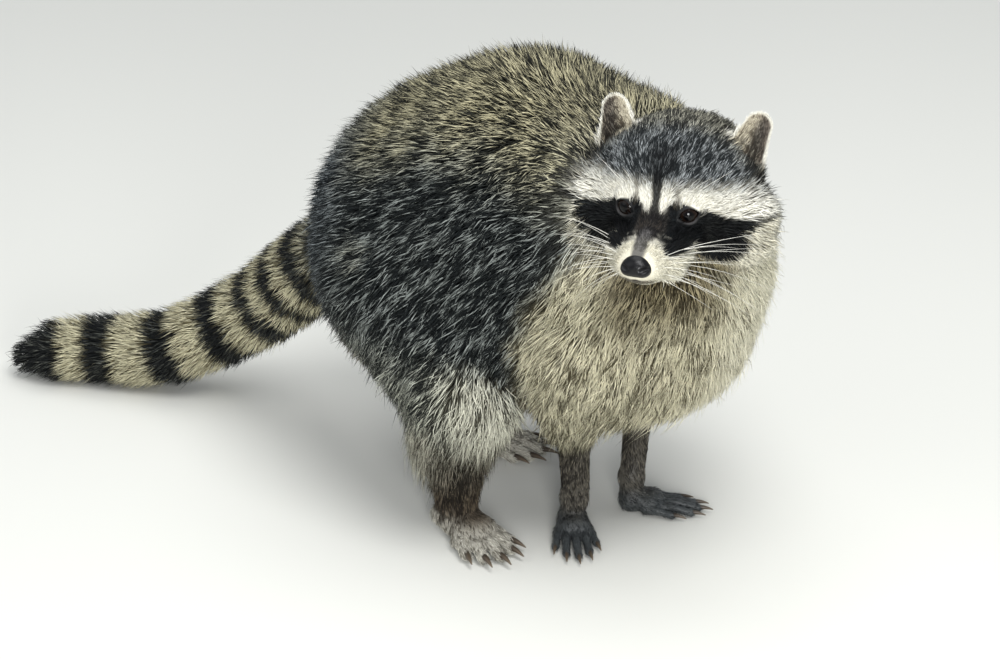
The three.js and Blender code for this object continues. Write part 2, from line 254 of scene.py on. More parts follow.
@dataclass(frozen=True)
class Placement:
    """Where a part's own frame lies: its place, and its turn about x, y and z in degrees."""

    place: Triple
    turn: Triple = (0.0, 0.0, 0.0)

    @property
    def matrix(self) -> Array:
        """The turn as a matrix: y first, then x, then z.

        Returns:
            A matrix for columns.
        """
        turns = [math.radians(turn) for turn in self.turn]
        a, b, c = (math.cos(turn) for turn in turns)
        u, v, w = (math.sin(turn) for turn in turns)
        about_x = np.array([[1, 0, 0], [0, a, -u], [0, u, a]])
        about_y = np.array([[b, 0, v], [0, 1, 0], [-v, 0, b]])
        about_z = np.array([[c, -w, 0], [w, c, 0], [0, 0, 1]])
        return about_z @ about_x @ about_y

    def inward(self, points: Array) -> Array:
        """Points given in the part's own frame."""
        return (points - self.place) @ self.matrix

    def outward(self, points: Array) -> Array:
        """Points of the part's own frame, in the frame that holds it."""
        return points @ self.matrix.T + self.place

    def swung(self, vectors: Array) -> Array:
        """Directions of the part's own frame, in the frame that holds it."""
        return vectors @ self.matrix.T

    def within(self, other: Placement) -> Nested:
        """This placement, inside another."""
        return Nested(other, self)


@dataclass(frozen=True)
class Nested:
    """A placement inside another one."""

    outer: Placement
    inner: Placement

    def inward(self, points: Array) -> Array:
        """Points given in the innermost frame."""
        return self.inner.inward(self.outer.inward(points))

    def outward(self, points: Array) -> Array:
        """Points of the innermost frame, in the outermost one."""
        return self.outer.outward(self.inner.outward(points))

    def swung(self, vectors: Array) -> Array:
        """Directions of the innermost frame, in the outermost one."""
        return self.outer.swung(self.inner.swung(vectors))


class Side(Enum):
    """A side of the animal."""

    LEFT = 1
    RIGHT = -1

    @property
    def word(self) -> str:
        """The side as it ends a node's name."""
        return self.name.lower()


class Region(Enum):
    """A stretch of the coat, which sets how its hair grows."""

    TRUNK = 0
    NECK = 1
    THIGH = 2
    UPPER_FORELEG = 3
    TAIL = 4
    HEAD = 5
    EAR = 6
    SHANK = 7
    FOREARM = 8
    FOOT = 9
    HAND = 10


@dataclass
class Form:
    """One form of the body under its coat.

    Attributes:
        region: The stretch of coat that it carries.
        skin: Its signed distance.
        low: The lowest corner of the box that holds it.
        high: The highest corner.
        softness: How roundly it runs into what comes before it.
        lie: The way its hair lies, for points of the body.
    """

    region: Region
    skin: Field
    low: Array
    high: Array
    softness: float
    lie: Field

    @property
    def pad(self) -> float:
        """How far round its box the form is worked out."""
        return self.softness + ROUND

    def holds(self, point: Array, margin: float) -> bool:
        """Whether a point is in its box, or within a margin of it."""
        return bool(((self.low - margin < point) & (self.high + margin > point)).all())

    def distance(self, points: Array) -> Array:
        """The signed distance of each point, or FAR where it is well away.

        Args:
            points: Points of the body.

        Returns:
            The distances.
        """
        close = ((points > self.low - self.pad) & (points < self.high + self.pad)).all(1)
        out = np.full(len(points), FAR)
        if close.any():
            out[close] = np.minimum(self.skin(points[close]), FAR)
        return out


def steady(x: float, y: float, z: float) -> Field:
    """A lie that is the same everywhere."""
    return lambda points: np.tile(unit(np.array([[x, y, z]])), (len(points), 1))


def holding(joints: Sequence[Sequence[float]]) -> tuple[Array, Array]:
    """The box that holds a limb's joints."""
    rows = np.array(joints, float)
    return (rows[:, :3] - rows[:, 3:]).min(0), (rows[:, :3] + rows[:, 3:]).max(0)


def placed_box(placement: Placement | Nested, low: Triple, high: Triple) -> tuple[Array, Array]:
    """The box that holds another one, once that is placed."""
    corners = placement.outward(np.array(list(itertools.product(*zip(low, high))), float))
    return corners.min(0), corners.max(0)


# ---------------- the body's sub-assemblies


@dataclass(frozen=True)
class Trunk:
    """Rump, loin, shoulders, chest and belly in one."""

    masses: tuple[tuple[Triple, Triple], ...] = (
        ((0, 98, 204), (116, 110, 128)),
        ((0, 22, 240), (123, 118, 134)),
        ((0, -62, 228), (110, 96, 120)),
        ((0, -100, 196), (78, 66, 80)),
        ((0, 0, 174), (104, 120, 70)),
    )
    softness: float = 46
    coat: float = 19
    low: Triple = (-124.0, -170.0, 96.0)
    high: Triple = (124.0, 212.0, 378.0)

    def outer(self) -> Field:
        """Out to the tips of the coat."""
        return blend(self.softness, *(Ellipsoid(*mass) for mass in self.masses))

    def forms(self) -> list[Form]:
        """The trunk's form.

        Returns:
            The form, in a list.
        """
        outer, lie = self.outer(), steady(0, 0.66, -1)
        low, high = np.array(self.low), np.array(self.high)
        return [Form(Region.TRUNK, lambda p: outer(p) + self.coat, low, high, 1, lie)]


@dataclass(frozen=True)
class Neck:
    """The neck and the breast below it."""

    joints: tuple[tuple[float, float, float, float], ...] = (
        (2, -66, 258, 80),
        (2, -119, 242, 65),
        (-10, -128, 300, 58),
    )
    coat: float = 17
    nape: Triple = (-60.0, -138.0, 318.0)

    def forms(self) -> list[Form]:
        """The neck's form.

        Returns:
            The form, in a list.
        """
        limb = Limb(tuple((x, y, z, r - self.coat) for x, y, z, r in self.joints))

        def lie(points: Array) -> Array:
            """Away from the nape and down."""
            return unit(unit(points - self.nape) + (0.0, 0.1, -0.95))

        return [Form(Region.NECK, limb, *holding(limb.joints), 26, lie)]


@dataclass(frozen=True)
class Tail:
    """The tail, from its root to its tip, with its rings."""

    joints: tuple[tuple[float, float, float, float], ...] = (
        (0, 190, 176, 38),
        (4, 232, 144, 38),
        (9, 290, 92, 36),
        (4, 334, 61, 35),
        (-12, 368, 42, 34),
        (-24, 404, 32, 33),
        (-37, 438, 29, 31),
        (-52, 466, 26, 28),
        (-62, 486, 20, 19),
    )
    coat: float = 13
    dark_rings: tuple[tuple[float, float], ...] = (
        (0.10, 0.16),
        (0.214, 0.262),
        (0.313, 0.382),
        (0.452, 0.545),
        (0.624, 0.692),
        (0.792, 0.867),
        (0.931, 1.5),
    )
    ring_edge: float = 0.007

    def limb(self) -> Limb:
        """The tail under its coat."""
        return Limb(tuple((x, y, z, r - self.coat) for x, y, z, r in self.joints))

    def forms(self) -> list[Form]:
        """The tail's form."""
        limb = self.limb()
        return [Form(Region.TAIL, limb, *holding(limb.joints), 16, lambda p: limb.along(p)[1])]

    def share(self, points: Array) -> Array:
        """How far along the tail each point is, and on past 1 beyond its last joint.

        Args:
            points: Points of the body.

        Returns:
            0 at its root and 1 at its last joint.
        """
        run, _, _ = self.limb().along(points)
        last, before = np.array(self.joints[-1][:3]), np.array(self.joints[-2][:3])
        past = (points - last) @ unit(last - before)
        length = sum(math.dist(a[:3], b[:3]) for a, b in zip(self.joints, self.joints[1:]))
        return run + np.maximum(past, 0) / length

    def darkness(self, points: Array) -> Array:
        """How dark the rings are at each point, from 0 to 1.

        Args:
            points: Points of the body.

        Returns:
            The darkness.
        """
        share = self.share(points) + 0.006 * ripple(points, 16, 5)
        dark = np.zeros(len(points))
        for start, end in self.dark_rings:
            begun = ease(share, start - self.ring_edge, start + self.ring_edge)
            dark = np.maximum(dark, begun * ease(share, end + self.ring_edge, end - self.ring_edge))
        return dark


@dataclass(frozen=True)
class Foreleg:
    """A foreleg from the shoulder down to the wrist."""

    shoulder: Triple
    elbow: Triple
    wrist: Triple
    radii: tuple[float, float, float, float]
    coats: tuple[float, float, float] = (20, 12, 1.6)

    def forms(self) -> list[Form]:
        """The upper foreleg and the forearm.

        Returns:
            Both forms.
        """
        deep, less, short = self.coats
        upper = Limb(((*self.shoulder, self.radii[0] - deep), (*self.elbow, self.radii[1] - less)))
        lower = Limb(((*self.elbow, self.radii[2] - short), (*self.wrist, self.radii[3] - short)))
        side = math.copysign(1.0, self.shoulder[0])
        return [
            Form(Region.UPPER_FORELEG, upper, *holding(upper.joints), 18, steady(0.12 * side, 0.2, -1)),
            Form(Region.FOREARM, lower, *holding(lower.joints), 7, steady(0, 0.05, -1)),
        ]


@dataclass(frozen=True)
class Hindleg:
    """A hind leg from the hip down to the ankle."""

    hip: Triple
    knee: Triple
    hem: Triple
    ankle: Triple
    thigh: tuple[float, float, float] = (58 - 20, 52 - 19, 38 - 17)
    shank: tuple[float, float] = (26 - 4, 17 - 2)

    def forms(self) -> list[Form]:
        """The thigh and the shank.

        Returns:
            Both forms.
        """
        places = (self.hip, self.knee, self.hem)
        upper = Limb(tuple((*place, r) for place, r in zip(places, self.thigh)))
        start = np.add(self.knee, np.subtract(self.ankle, self.knee) * 0.3)
        lower = Limb(((*start, self.shank[0]), (*self.ankle, self.shank[1])))
        side = math.copysign(1.0, self.hip[0])
        return [
            Form(Region.THIGH, upper, *holding(upper.joints), 24, steady(0.05 * side, 0.42, -1)),
            Form(Region.SHANK, lower, *holding(lower.joints), 9, steady(0, 0.15, -1)),
        ]


@dataclass(frozen=True)
class Toe:
    """A toe by the place of its root, its length and its angle outwards, for the left side."""

    root: Triple
    length: float
    angle: float


@dataclass(frozen=True)
class PawKind:
    """What all hands, or all feet, share. They lie along -y from the heel of the sole.

    Attributes:
        region: The stretch of coat.
        wrist: The top of the part.
        palm: The two ends of the sole, with radii.
        width: The sole's width against its height.
        toes: From the inner one outwards.
        toe_radii: At the root and the tip.
        claw: The claw's length and radius.
        fur: How far the skin lies inside the coat.
        upper: The stretch of coat above it.
        reach: How far ahead of its place the box that holds it goes.
        fine: How far ahead, and to each side, its skin is made finely.
    """

    region: Region
    wrist: Triple
    palm: tuple[tuple[float, float, float, float], ...]
    width: float
    toes: tuple[Toe, ...]
    toe_radii: tuple[float, float]
    claw: tuple[float, float]
    fur: float
    upper: Region
    reach: float
    fine: tuple[float, float]

    @property
    def word(self) -> str:
        """The kind as it stands in a piece's name."""
        return self.region.name.lower()


HAND = PawKind(
    region=Region.HAND,
    wrist=(0, -7, 28),
    palm=((0, -7, 8.5, 8), (0, -24, 9, 9.5)),
    width=1.4,
    toes=(
        Toe((11, -20, 5.5), 25, 13),
        Toe((6.5, -28, 6.5), 31, 6),
        Toe((0, -30, 7), 34, 1),
        Toe((-6.5, -28, 6.5), 32, -4),
        Toe((-11.5, -21, 5.5), 27, -11),
    ),
    toe_radii=(4.4, 3.6),
    claw=(9, 1.7),
    fur=0.5,
    upper=Region.FOREARM,
    reach=60,
    fine=(72, 26),
)
FOOT = PawKind(
    region=Region.FOOT,
    wrist=(0, -30, 34),
    palm=((0, -12, 11, 11.5), (0, -54, 12, 14)),
    width=1.25,
    toes=(
        Toe((13, -50, 8), 27, 17),
        Toe((9, -60, 9), 27, 9),
        Toe((0, -64, 9.5), 28, 0),
        Toe((-9, -61, 9), 27, -8),
        Toe((-15, -52, 8), 25, -16),
    ),
    toe_radii=(7, 5.6),
    claw=(12, 2.3),
    fur=1.0,
    upper=Region.SHANK,
    reach=102,
    fine=(106, 30),
)


@dataclass(frozen=True)
class Paw:
    """A hand or foot set in its place."""

    kind: PawKind
    side: Side
    place: Triple
    heading: float

    @property
    def placement(self) -> Placement:
        """Where its own frame lies."""
        return Placement(self.place, (0, 0, self.heading))

    def toe_line(self, toe: Toe) -> tuple[Array, Array, Array, Array]:
        """A toe's root, knuckle and tip, and its heading, in the paw's own frame.

        Args:
            toe: The toe.

        Returns:
            Three places and a direction.
        """
        out = math.radians(toe.angle)
        start = np.array(mirrored(toe.root, -self.side.value), float)
        heading = np.array([-math.sin(out) * self.side.value, -math.cos(out), 0.0])
        tip = start + heading * (toe.length - self.kind.toe_radii[1])
        tip[2] = self.kind.toe_radii[1] + 0.6
        knuckle = start + (tip - start) * 0.45
        knuckle[2] = toe.root[2] + self.kind.toe_radii[0] * 0.2
        return start, knuckle, tip, heading

    def local(self) -> Field:
        """The paw's signed distance in its own frame.

        Returns:
            The field.
        """
        kind, fur = self.kind, self.kind.fur
        wide = Limb(kind.palm)
        first = kind.palm[0][3]
        low_end = (0, kind.wrist[1], first, first * 0.95)
        column = Limb((low_end, (*kind.wrist, first * 1.2)))
        shape = blend(8, lambda p: wide(p / (kind.width, 1, 1)), column)
        root_r, tip_r = kind.toe_radii
        parts: list[Field] = []
        ridges: list[Field] = []
        for toe in self.kind.toes:
            start, knuckle, tip, _ = self.toe_line(toe)
            bend = knuckle + (tip - knuckle) * 0.5
            line = ((*start, root_r), (*knuckle, tip_r * 1.04), (*bend, tip_r * 0.9), (*tip, tip_r * 0.98))
            parts.append(Limb(line))
            top = np.array([start[0] * 0.45, kind.wrist[1] - 2, kind.wrist[2] * 0.66])
            over = start + (0, 0, root_r * 0.62)
            ridges.append(Limb(((*top, root_r * 0.5), (*over, root_r * 0.62))))
        toes, sinews = blend(1.2, *parts), blend(1.5, *ridges)

        def skin(points: Array) -> Array:
            """The sole, sinews and toes in one."""
            body = rise(shape(points), sinews(points), 3.5)
            return rise(body, toes(points), 2.4) + fur

        return skin

    def forms(self) -> list[Form]:
        """The paw's form.

        Returns:
            The form, in a list.
        """
        local, placement = self.local(), self.placement
        box = placed_box(placement, (-34, -self.kind.reach, 0), (34, 12, 46))
        lie = placement.swung(np.array([[0.0, -1.0, -0.35]]))[0]
        return [Form(self.kind.region, lambda p: local(placement.inward(p)), *box, 5, steady(*lie))]


@dataclass(frozen=True)
class Eye:
    """An eye in its own frame, which looks along -y: globe, lids and the opening between them."""

    side: Side
    middle: Triple = (21.5, 4.5, -3)
    radius: float = 8.4
    opening: tuple[float, float, float] = (7.9, 5.3, 5.0)  # half width, up and down from the corners
    lid: float = 1.5
    outwards: float = 20
    upwards: float = 4
    slant: float = 13

    @property
    def placement(self) -> Placement:
        """The eye's own frame in the head's."""
        value = self.side.value
        turn = (-self.upwards, -self.slant * value, self.outwards * value)
        return Placement(mirrored(self.middle, value), turn)

    def parting(self, points: Array) -> Array:
        """The signed distance to the almond between the lids, seen along the eye's own axis."""
        wide, up, down = self.opening
        share = np.clip(1 - np.abs(points[:, 0] / wide) ** 2.2, -1, 1)
        return np.maximum(points[:, 2] - up * share, -down * share - points[:, 2]) * 0.8

    def lids(self, points: Array) -> Array:
        """The mound of the lids, for points of the head."""
        near = self.placement.inward(points)
        return np.linalg.norm(near + (0, 0.4, 0), axis=1) - (self.radius + self.lid)

    def hollow(self, points: Array) -> Array:
        """What is open in front of the globe, for points of the head."""
        near = self.placement.inward(points)
        ahead = np.maximum(self.parting(near), near[:, 1] + 1)
        return np.maximum(ahead, self.radius - 1.2 - np.linalg.norm(near, axis=1))


@dataclass(frozen=True)
class Ear:
    """An ear in its own frame: z from its root to its tip, and its dish to -y."""

    side: Side
    root: Triple = (45, 60, 18)
    tip: Triple = (54.5, 73, 41)
    radii: tuple[float, float] = (19, 11.5)
    facing: float = 10
    flat: float = 0.36
    fur: float = 0.9

    @property
    def height(self) -> float:
        """From the root's middle to the tip's."""
        return math.dist(self.root, self.tip)

    @property
    def placement(self) -> Placement:
        """The ear's own frame in the head's.

        Returns:
            The placement.
        """
        x, y, z = np.subtract(self.tip, self.root)
        value = self.side.value
        back = math.degrees(math.asin(-y / self.height))
        aside = math.degrees(math.atan2(x * value, z))
        return Placement(mirrored(self.root, value), (back, aside, value * self.facing))

    def leaf(self, points: Array, size: float, forwards: float) -> Array:
        """A flat limb along z, for points of the ear."""
        near = (points + (0, forwards, 0)) / (1, self.flat, 1)
        line = Limb(((0, 0, -6, self.radii[0] * size), (0, 0, self.height, self.radii[1] * size)))
        return line(near) * self.flat

    def skin(self, points: Array) -> Array:
        """The shell's signed distance, for points of the head."""
        near = self.placement.inward(points)
        dish = self.leaf(near - (0, 0, 1.0), 0.84, 3.2)
        return -rise(-(self.leaf(near, 1, 0) + self.fur * 0.5), dish, 1.2)

    def lie(self, points: Array) -> Array:
        """The way its hair lies, for points of the head: up the back, and in over the dish."""
        near = self.placement.inward(points)
        within = ease(near[:, 1], -1.0, -2.5)[:, None]
        inner = np.stack([-np.sign(near[:, 0]) * 0.35, np.full(len(near), -0.25), np.full(len(near), 0.9)], 1)
        return self.placement.swung(unit(inner * within + np.array([[0, 0, 1.0]]) * (1 - within)))


@dataclass(frozen=True)
class Head:
    """The head in its own frame, about the middle between its eyes: -y to the nose."""

    placement: Placement = Placement((-82.5, -145, 315.4), (0, 0.7, -73))
    softness: float = 15
    nose: Triple = (0, -50, -25)
    mouth: tuple[Triple, ...] = (
        (0, -52, -36.5),
        (7, -49, -39.5),
        (12.5, -40, -40.5),
        (17, -27, -39.5),
        (21.5, -12, -37),
        (26, 0, -34),
    )
    eyes: tuple[Eye, Eye] = (Eye(Side.LEFT), Eye(Side.RIGHT))
    ears: tuple[Ear, Ear] = (Ear(Side.LEFT), Ear(Side.RIGHT))

    def outer(self) -> Field:
        """Out to the tips of the coat, without eyes, ears or nose.

        Returns:
            The field.
        """
        sides = [side.value for side in Side]
        return blend(
            self.softness,
            Ellipsoid((0, 60, 6), (60, 58, 40)),
            Ellipsoid((0, 32, 9), (44, 36, 27)),
            *(Ellipsoid(mirrored((46, 44, -22), side), (37, 36, 37)) for side in sides),
            *(Ellipsoid(mirrored((9.5, -30, -28), side), (12, 20, 11.5)) for side in sides),
            Limb(((0, 14, -15, 26), (0, -20, -22, 16), (0, -42, -25, 11.5))),
            Limb(((0, 26, -38, 20), (0, -28, -35, 8.5))),
        )

    @staticmethod
    def coat(points: Array) -> Array:
        """The length of the hair at each point of the head, in millimetres.

        Args:
            points: Where, in the head's frame.

        Returns:
            The lengths.
        """
        x, y, z = np.abs(points[:, 0]), points[:, 1], points[:, 2]
        face = 2.6 + 3.6 * ease(y, -34, -2) + 5.5 * ease(y, 6, 60)
        ruff = ease(x, 30, 66) * ease(y, -4, 26) * ease(z, 26, -6)
        throat = ease(y, -22, 12) * ease(z, -34, -52)
        return face + 13 * ruff + 9 * throat

    def groove(self) -> Field:
        """The line of the mouth and the furrow under the nose."""
        lines = [Limb(tuple((*mirrored(point, side.value), 1.15) for point in self.mouth)) for side in Side]
        furrow = Limb(((0, -58, -33, 0.8), (0, -52.5, -36.5, 1.0)))
        return blend(0.5, *lines, furrow)

    def skull(self) -> Field:
        """The skin without the ears, for points of the head.

        Returns:
            The field.
        """
        outer, groove = self.outer(), self.groove()

        def skin(points: Array) -> Array:
            """The signed distance, with the lids, the mouth and the openings of the eyes."""
            base = outer(points) + 0.46 * self.coat(points)
            for eye in self.eyes:
                base = rise(base, eye.lids(points), 5)
            base = -rise(-base, groove(points), 1.0)
            for eye in self.eyes:
                base = -rise(-base, eye.hollow(points), 0.7)
            return base

        return skin

    def lie(self, near: Array) -> Array:
        """The way its hair lies, for points of the head: back from the nose, and down over the ruff.

        Args:
            near: Where.

        Returns:
            A direction for each.
        """
        x, y, z = near[:, 0], near[:, 1], near[:, 2]
        away = unit(near - (0, -62, -22))
        ruff = (ease(np.abs(x), 34, 62) * ease(z, 20, -10))[:, None]
        out = away + ruff * np.stack([np.sign(x) * 0.5, np.zeros_like(x), np.full_like(x, -0.75)], 1)
        down = (ease(z, -30, -46) * ease(y, -40, 0))[:, None]
        out = out + down * (0.0, 0.3, -0.6)
        for eye in self.eyes:
            off = near - eye.placement.place
            apart = np.linalg.norm(off, axis=1)
            out = out + (1.3 * ease(apart, 17, 9))[:, None] * unit(off) * (1, 0.2, 1)
        return unit(out)

    def forms(self) -> list[Form]:
        """The head's form, and one for each ear.

        Returns:
            The three forms.
        """
        placement, skull = self.placement, self.skull()

        def of_head(made: Field) -> Field:
            """A field of the body, from one for points of the head."""
            return lambda p: made(placement.inward(p))

        def swung(made: Field) -> Field:
            """A lie for points of the body, from one for points of the head."""
            return lambda p: placement.swung(made(placement.inward(p)))

        box = placed_box(placement, (-84, -60, -60), (84, 118, 48))
        found = [Form(Region.HEAD, of_head(skull), *box, 14, swung(self.lie))]
        for ear in self.ears:
            box = placed_box(ear.placement.within(placement), (-20, -9, -26), (20, 9, 42))
            found.append(Form(Region.EAR, of_head(ear.skin), *box, 3, swung(ear.lie)))
        return found


@dataclass
class Animal:
    """The whole body under its coat, as forms that run into each other."""

    trunk: Trunk = Trunk()
    neck: Neck = Neck()
    tail: Tail = Tail()
    head: Head = Head()
    forelegs: tuple[Foreleg, ...] = (
        Foreleg((70, -88, 184), (46, -54, 116), (27, -58, 28), (50, 31, 12.5, 10.5)),
        Foreleg((-70, -84, 184), (-42, -48, 116), (-28, -42, 28), (50, 31, 14, 11.5)),
    )
    hindlegs: tuple[Hindleg, ...] = (
        Hindleg((78, 94, 196), (92, 34, 134), (66, 72, 88), (46, 92, 32)),
        Hindleg((-78, 90, 196), (-94, 16, 134), (-82, 36, 82), (-86, 30, 32)),
    )
    paws: tuple[Paw, ...] = (
        Paw(HAND, Side.LEFT, (22, -52, 0), 28),
        Paw(HAND, Side.RIGHT, (-22, -34, 0), -51),
        Paw(FOOT, Side.LEFT, (34, 134, 0), 16),
        Paw(FOOT, Side.RIGHT, (-73, 56, 0), -22),
    )
    floor: float = 0.25  # mm, the height at which the soles are flat

    def __post_init__(self) -> None:
        """Lists the forms in the order in which they join."""
        groups = [self.trunk, self.neck, *self.hindlegs, *self.forelegs, self.tail, self.head, *self.paws]
        every = [form for group in groups for form in group.forms()]
        self.forms = sorted(every, key=lambda form: form.region.value)

    def skin(self, points: Array) -> Array:
        """The signed distance of the whole skin."""
        return self.joined(points, self.forms)

    def joined(self, points: Array, forms: Sequence[Form]) -> Array:
        """The signed distance of some of the forms, run into each other.

        Args:
            points: Points of the body.
            forms: What is joined.

        Returns:
            The distances.
        """
        out = np.full(len(points), FAR)
        if not len(points):
            return out
        low, high = points.min(0), points.max(0)
        for form in forms:
            if (form.low - form.pad < high).all() and (form.high + form.pad > low).all():
                out = rise(out, form.distance(points), form.softness)
        return np.maximum(out, self.floor - points[:, 2])

    def shares(self, points: Array, softness: float = 7) -> Array:
        """How much each form has to say at each point, in rows that add up to 1."""
        apart = np.stack([form.distance(points) for form in self.forms], 1)
        pull = np.exp(-(apart - apart.min(1, keepdims=True)) / softness)
        return pull / pull.sum(1, keepdims=True)

    def say(self, shares: Array, *regions: Region) -> Array:
        """How much some regions have to say, from every form's share."""
        return sum(shares[:, i] for i, form in enumerate(self.forms) if form.region in regions)


# ---------------- from fields to meshes


@dataclass
class Surface:
    """A mesh of triangles or quads: its points in millimetres, and a row of point numbers per face."""

    points: Array
    faces: Array

    @property
    def triangles(self) -> Array:
        """The faces as triangles."""
        if self.faces.shape[1] == 3:
            return self.faces
        return np.concatenate([self.faces[:, (0, 1, 2)], self.faces[:, (0, 2, 3)]])


def slope(distance: Field, points: Array, step: float = 0.25) -> Array:
    """The gradient of a field at each point.

    Args:
        distance: The field.
        points: Where.
        step: How far to each side it is read.

    Returns:
        The gradients.
    """
    out = np.empty_like(points)
    for axis in range(3):
        offset = np.zeros(3)
        offset[axis] = step
        out[:, axis] = (distance(points + offset) - distance(points - offset)) / (2 * step)
    return out


@dataclass(frozen=True)
class Lattice:
    """A box of evenly spaced samples, in which a field becomes a mesh."""

    low: Triple
    high: Triple
    step: float
    block: int = 4

    def values(self, distance: Field) -> Array:
        """The field at every sample near its surface, and FAR or -FAR elsewhere.

        Args:
            distance: The field.

        Returns:
            The samples, by their place in the box.
        """
        block = self.block
        wide = self.step * block
        blocks = np.ceil(np.subtract(self.high, self.low) / wide).astype(int)
        middles = (np.indices(blocks).reshape(3, -1).T + 0.5) * wide + self.low
        rough = distance(middles).reshape(blocks)
        busy = np.abs(rough) < wide * 1.15
        out = np.full(blocks * block + 1, FAR)
        whole = np.where(rough < 0, -FAR, FAR)
        for axis in range(3):
            whole = np.repeat(whole, block, axis)
        out[:-1, :-1, :-1] = whole
        needed = np.zeros(out.shape, bool)
        for corner in itertools.product(range(block + 1), repeat=3):
            window = tuple(slice(c, c + block * (n - 1) + 1, block) for c, n in zip(corner, blocks))
            needed[window] |= busy
        out[needed] = distance(np.argwhere(needed) * self.step + self.low)
        for axis in range(3):
            rim = np.moveaxis(out, axis, 0)
            rim[0] = np.maximum(rim[0], self.step)
            rim[-1] = np.maximum(rim[-1], self.step)
        self.settle(out)
        return out

    def settle(self, values: Array) -> None:
        """Fills the gaps between samples that touch only at a corner, so that each edge has two faces.

        Args:
            values: The samples, which are changed.
        """
        for _ in range(12):
            changed = False
            for axis in range(3):
                run = np.moveaxis(values, axis, 0)
                blocks = [run[:, 1:, 1:], run[:, :-1, 1:], run[:, 1:, :-1], run[:, :-1, :-1]]
                a, b, c, d = (block < 0 for block in blocks)
                for bad, gaps in ((a & d & ~b & ~c, blocks[1:3]), (b & c & ~a & ~d, (blocks[0], blocks[3]))):
                    if bad.any():
                        changed = True
                        for gap in gaps:
                            gap[bad] = -0.05 * self.step
            if not changed:
                return

    def net(self, distance: Field) -> Surface:
        """The surface on which the field is 0, as quads that face outwards.

        Args:
            distance: The field.

        Returns:
            The mesh.
        """
        values = self.values(distance)
        shape = np.array(values.shape)
        spots, cells, quads = [], [], []
        for axis in range(3):
            run = np.moveaxis(values, axis, 0)
            crossing = (run[:-1] < 0) != (run[1:] < 0)
            before, after = run[:-1][crossing], run[1:][crossing]
            others = [other for other in range(3) if other != axis]
            found = np.argwhere(crossing)
            edges = np.empty_like(found)
            edges[:, axis], edges[:, others[0]], edges[:, others[1]] = found.T
            place = edges.astype(float)
            place[:, axis] += before / (before - after)
            ring = []
            for first, second in ((-1, -1), (0, -1), (0, 0), (-1, 0)):
                cell = edges.copy()
                cell[:, others[0]] += first
                cell[:, others[1]] += second
                ring.append(np.ravel_multi_index(cell.T, shape))
                spots.append(place)
                cells.append(ring[-1])
            quad = np.stack(ring, 1)
            turned = (before >= 0) != (axis == 1)
            quad[turned] = quad[turned][:, ::-1]
            quads.append(quad)
        numbers, rows = np.unique(np.concatenate(cells), return_inverse=True)
        places = np.concatenate(spots)
        count = np.bincount(rows)
        points = np.stack([np.bincount(rows, places[:, axis]) / count for axis in range(3)], 1)
        points = points * self.step + self.low
        off = np.clip(distance(points), -self.step, self.step)[:, None]
        points = points - off * unit(slope(distance, points))
        return Surface(points, np.searchsorted(numbers, np.concatenate(quads)))


@dataclass(frozen=True)
class Nook:
    """A box in which the skin is made finely, in its own placement."""

    placement: Placement
    low: Triple
    high: Triple
    step: float

    def depth(self, points: Array) -> Array:
        """How far inside the box each point of the body is."""
        near = self.placement.inward(points)
        return np.minimum(near - self.low, np.array(self.high) - near).min(1)

    def shell(self, skin: Field) -> Surface:
        """The skin inside the box, closed by the box's own sides.

        Args:
            skin: The whole skin's field.

        Returns:
            The mesh, in the body's frame.
        """

        def clipped(points: Array) -> Array:
            """The skin or the box's sides, whichever is further in."""
            body = self.placement.outward(points)
            return np.maximum(skin(body), -self.depth(body))

        margin = self.step * 2.5
        low = tuple(np.subtract(self.low, margin))
        made = Lattice(low, tuple(np.add(self.high, margin)), self.step).net(clipped)
        return Surface(self.placement.outward(made.points), made.faces)


# ---------------- markings


def tint(red: float, green: float, blue: float) -> Array:
    """A colour seen on a screen, from 0 to 255, as light."""
    share = np.array([red, green, blue]) / 255
    return np.where(share < 0.04045, share / 12.92, ((share + 0.055) / 1.055) ** 2.4)


def laid(base: Array, weight: Array, colour: Array) -> Array:
    """One colour laid over others, by a weight for each."""
    return base * (1 - weight[:, None]) + colour * weight[:, None]


@dataclass(frozen=True)
class Hair:
    """A mix of pale and dark tufts: their screen colours, the share that is pale, and the roots' colour."""

    pale: Triple
    dark: Triple
    share: float
    under: Triple


@dataclass
class Tones:
    """The hair at some points: a row of light for each colour, and how much of it is pale."""

    pale: Array
    dark: Array
    share: Array
    under: Array

    @staticmethod
    def even(count: int, hair: Hair) -> Tones:
        """The same hair at every one of count points."""
        rows = [np.tile(tint(*colour), (count, 1)) for colour in (hair.pale, hair.dark, hair.under)]
        return Tones(rows[0], rows[1], np.full(count, hair.share), rows[2])

    @staticmethod
    def none(count: int) -> Tones:
        """No hair yet at count points."""
        return Tones(np.zeros((count, 3)), np.zeros((count, 3)), np.zeros(count), np.zeros((count, 3)))

    def lay(self, weight: Array, hair: Hair) -> None:
        """Lays other hair over this, by a weight for each point.

        Args:
            weight: How much of it there is.
            hair: The other hair.
        """
        weight = np.clip(weight, 0, 1)
        self.pale = laid(self.pale, weight, tint(*hair.pale))
        self.dark = laid(self.dark, weight, tint(*hair.dark))
        self.under = laid(self.under, weight, tint(*hair.under))
        self.share = self.share * (1 - weight) + hair.share * weight

    def add(self, chosen: Array, other: Tones, weight: Array) -> None:
        """Adds other tones at the chosen points, by a weight for each.

        Args:
            chosen: Which points these are.
            other: Their tones.
            weight: How much of them there is.
        """
        w = weight[:, None]
        self.pale[chosen] += other.pale * w
        self.dark[chosen] += other.dark * w
        self.under[chosen] += other.under * w
        self.share[chosen] += other.share * weight


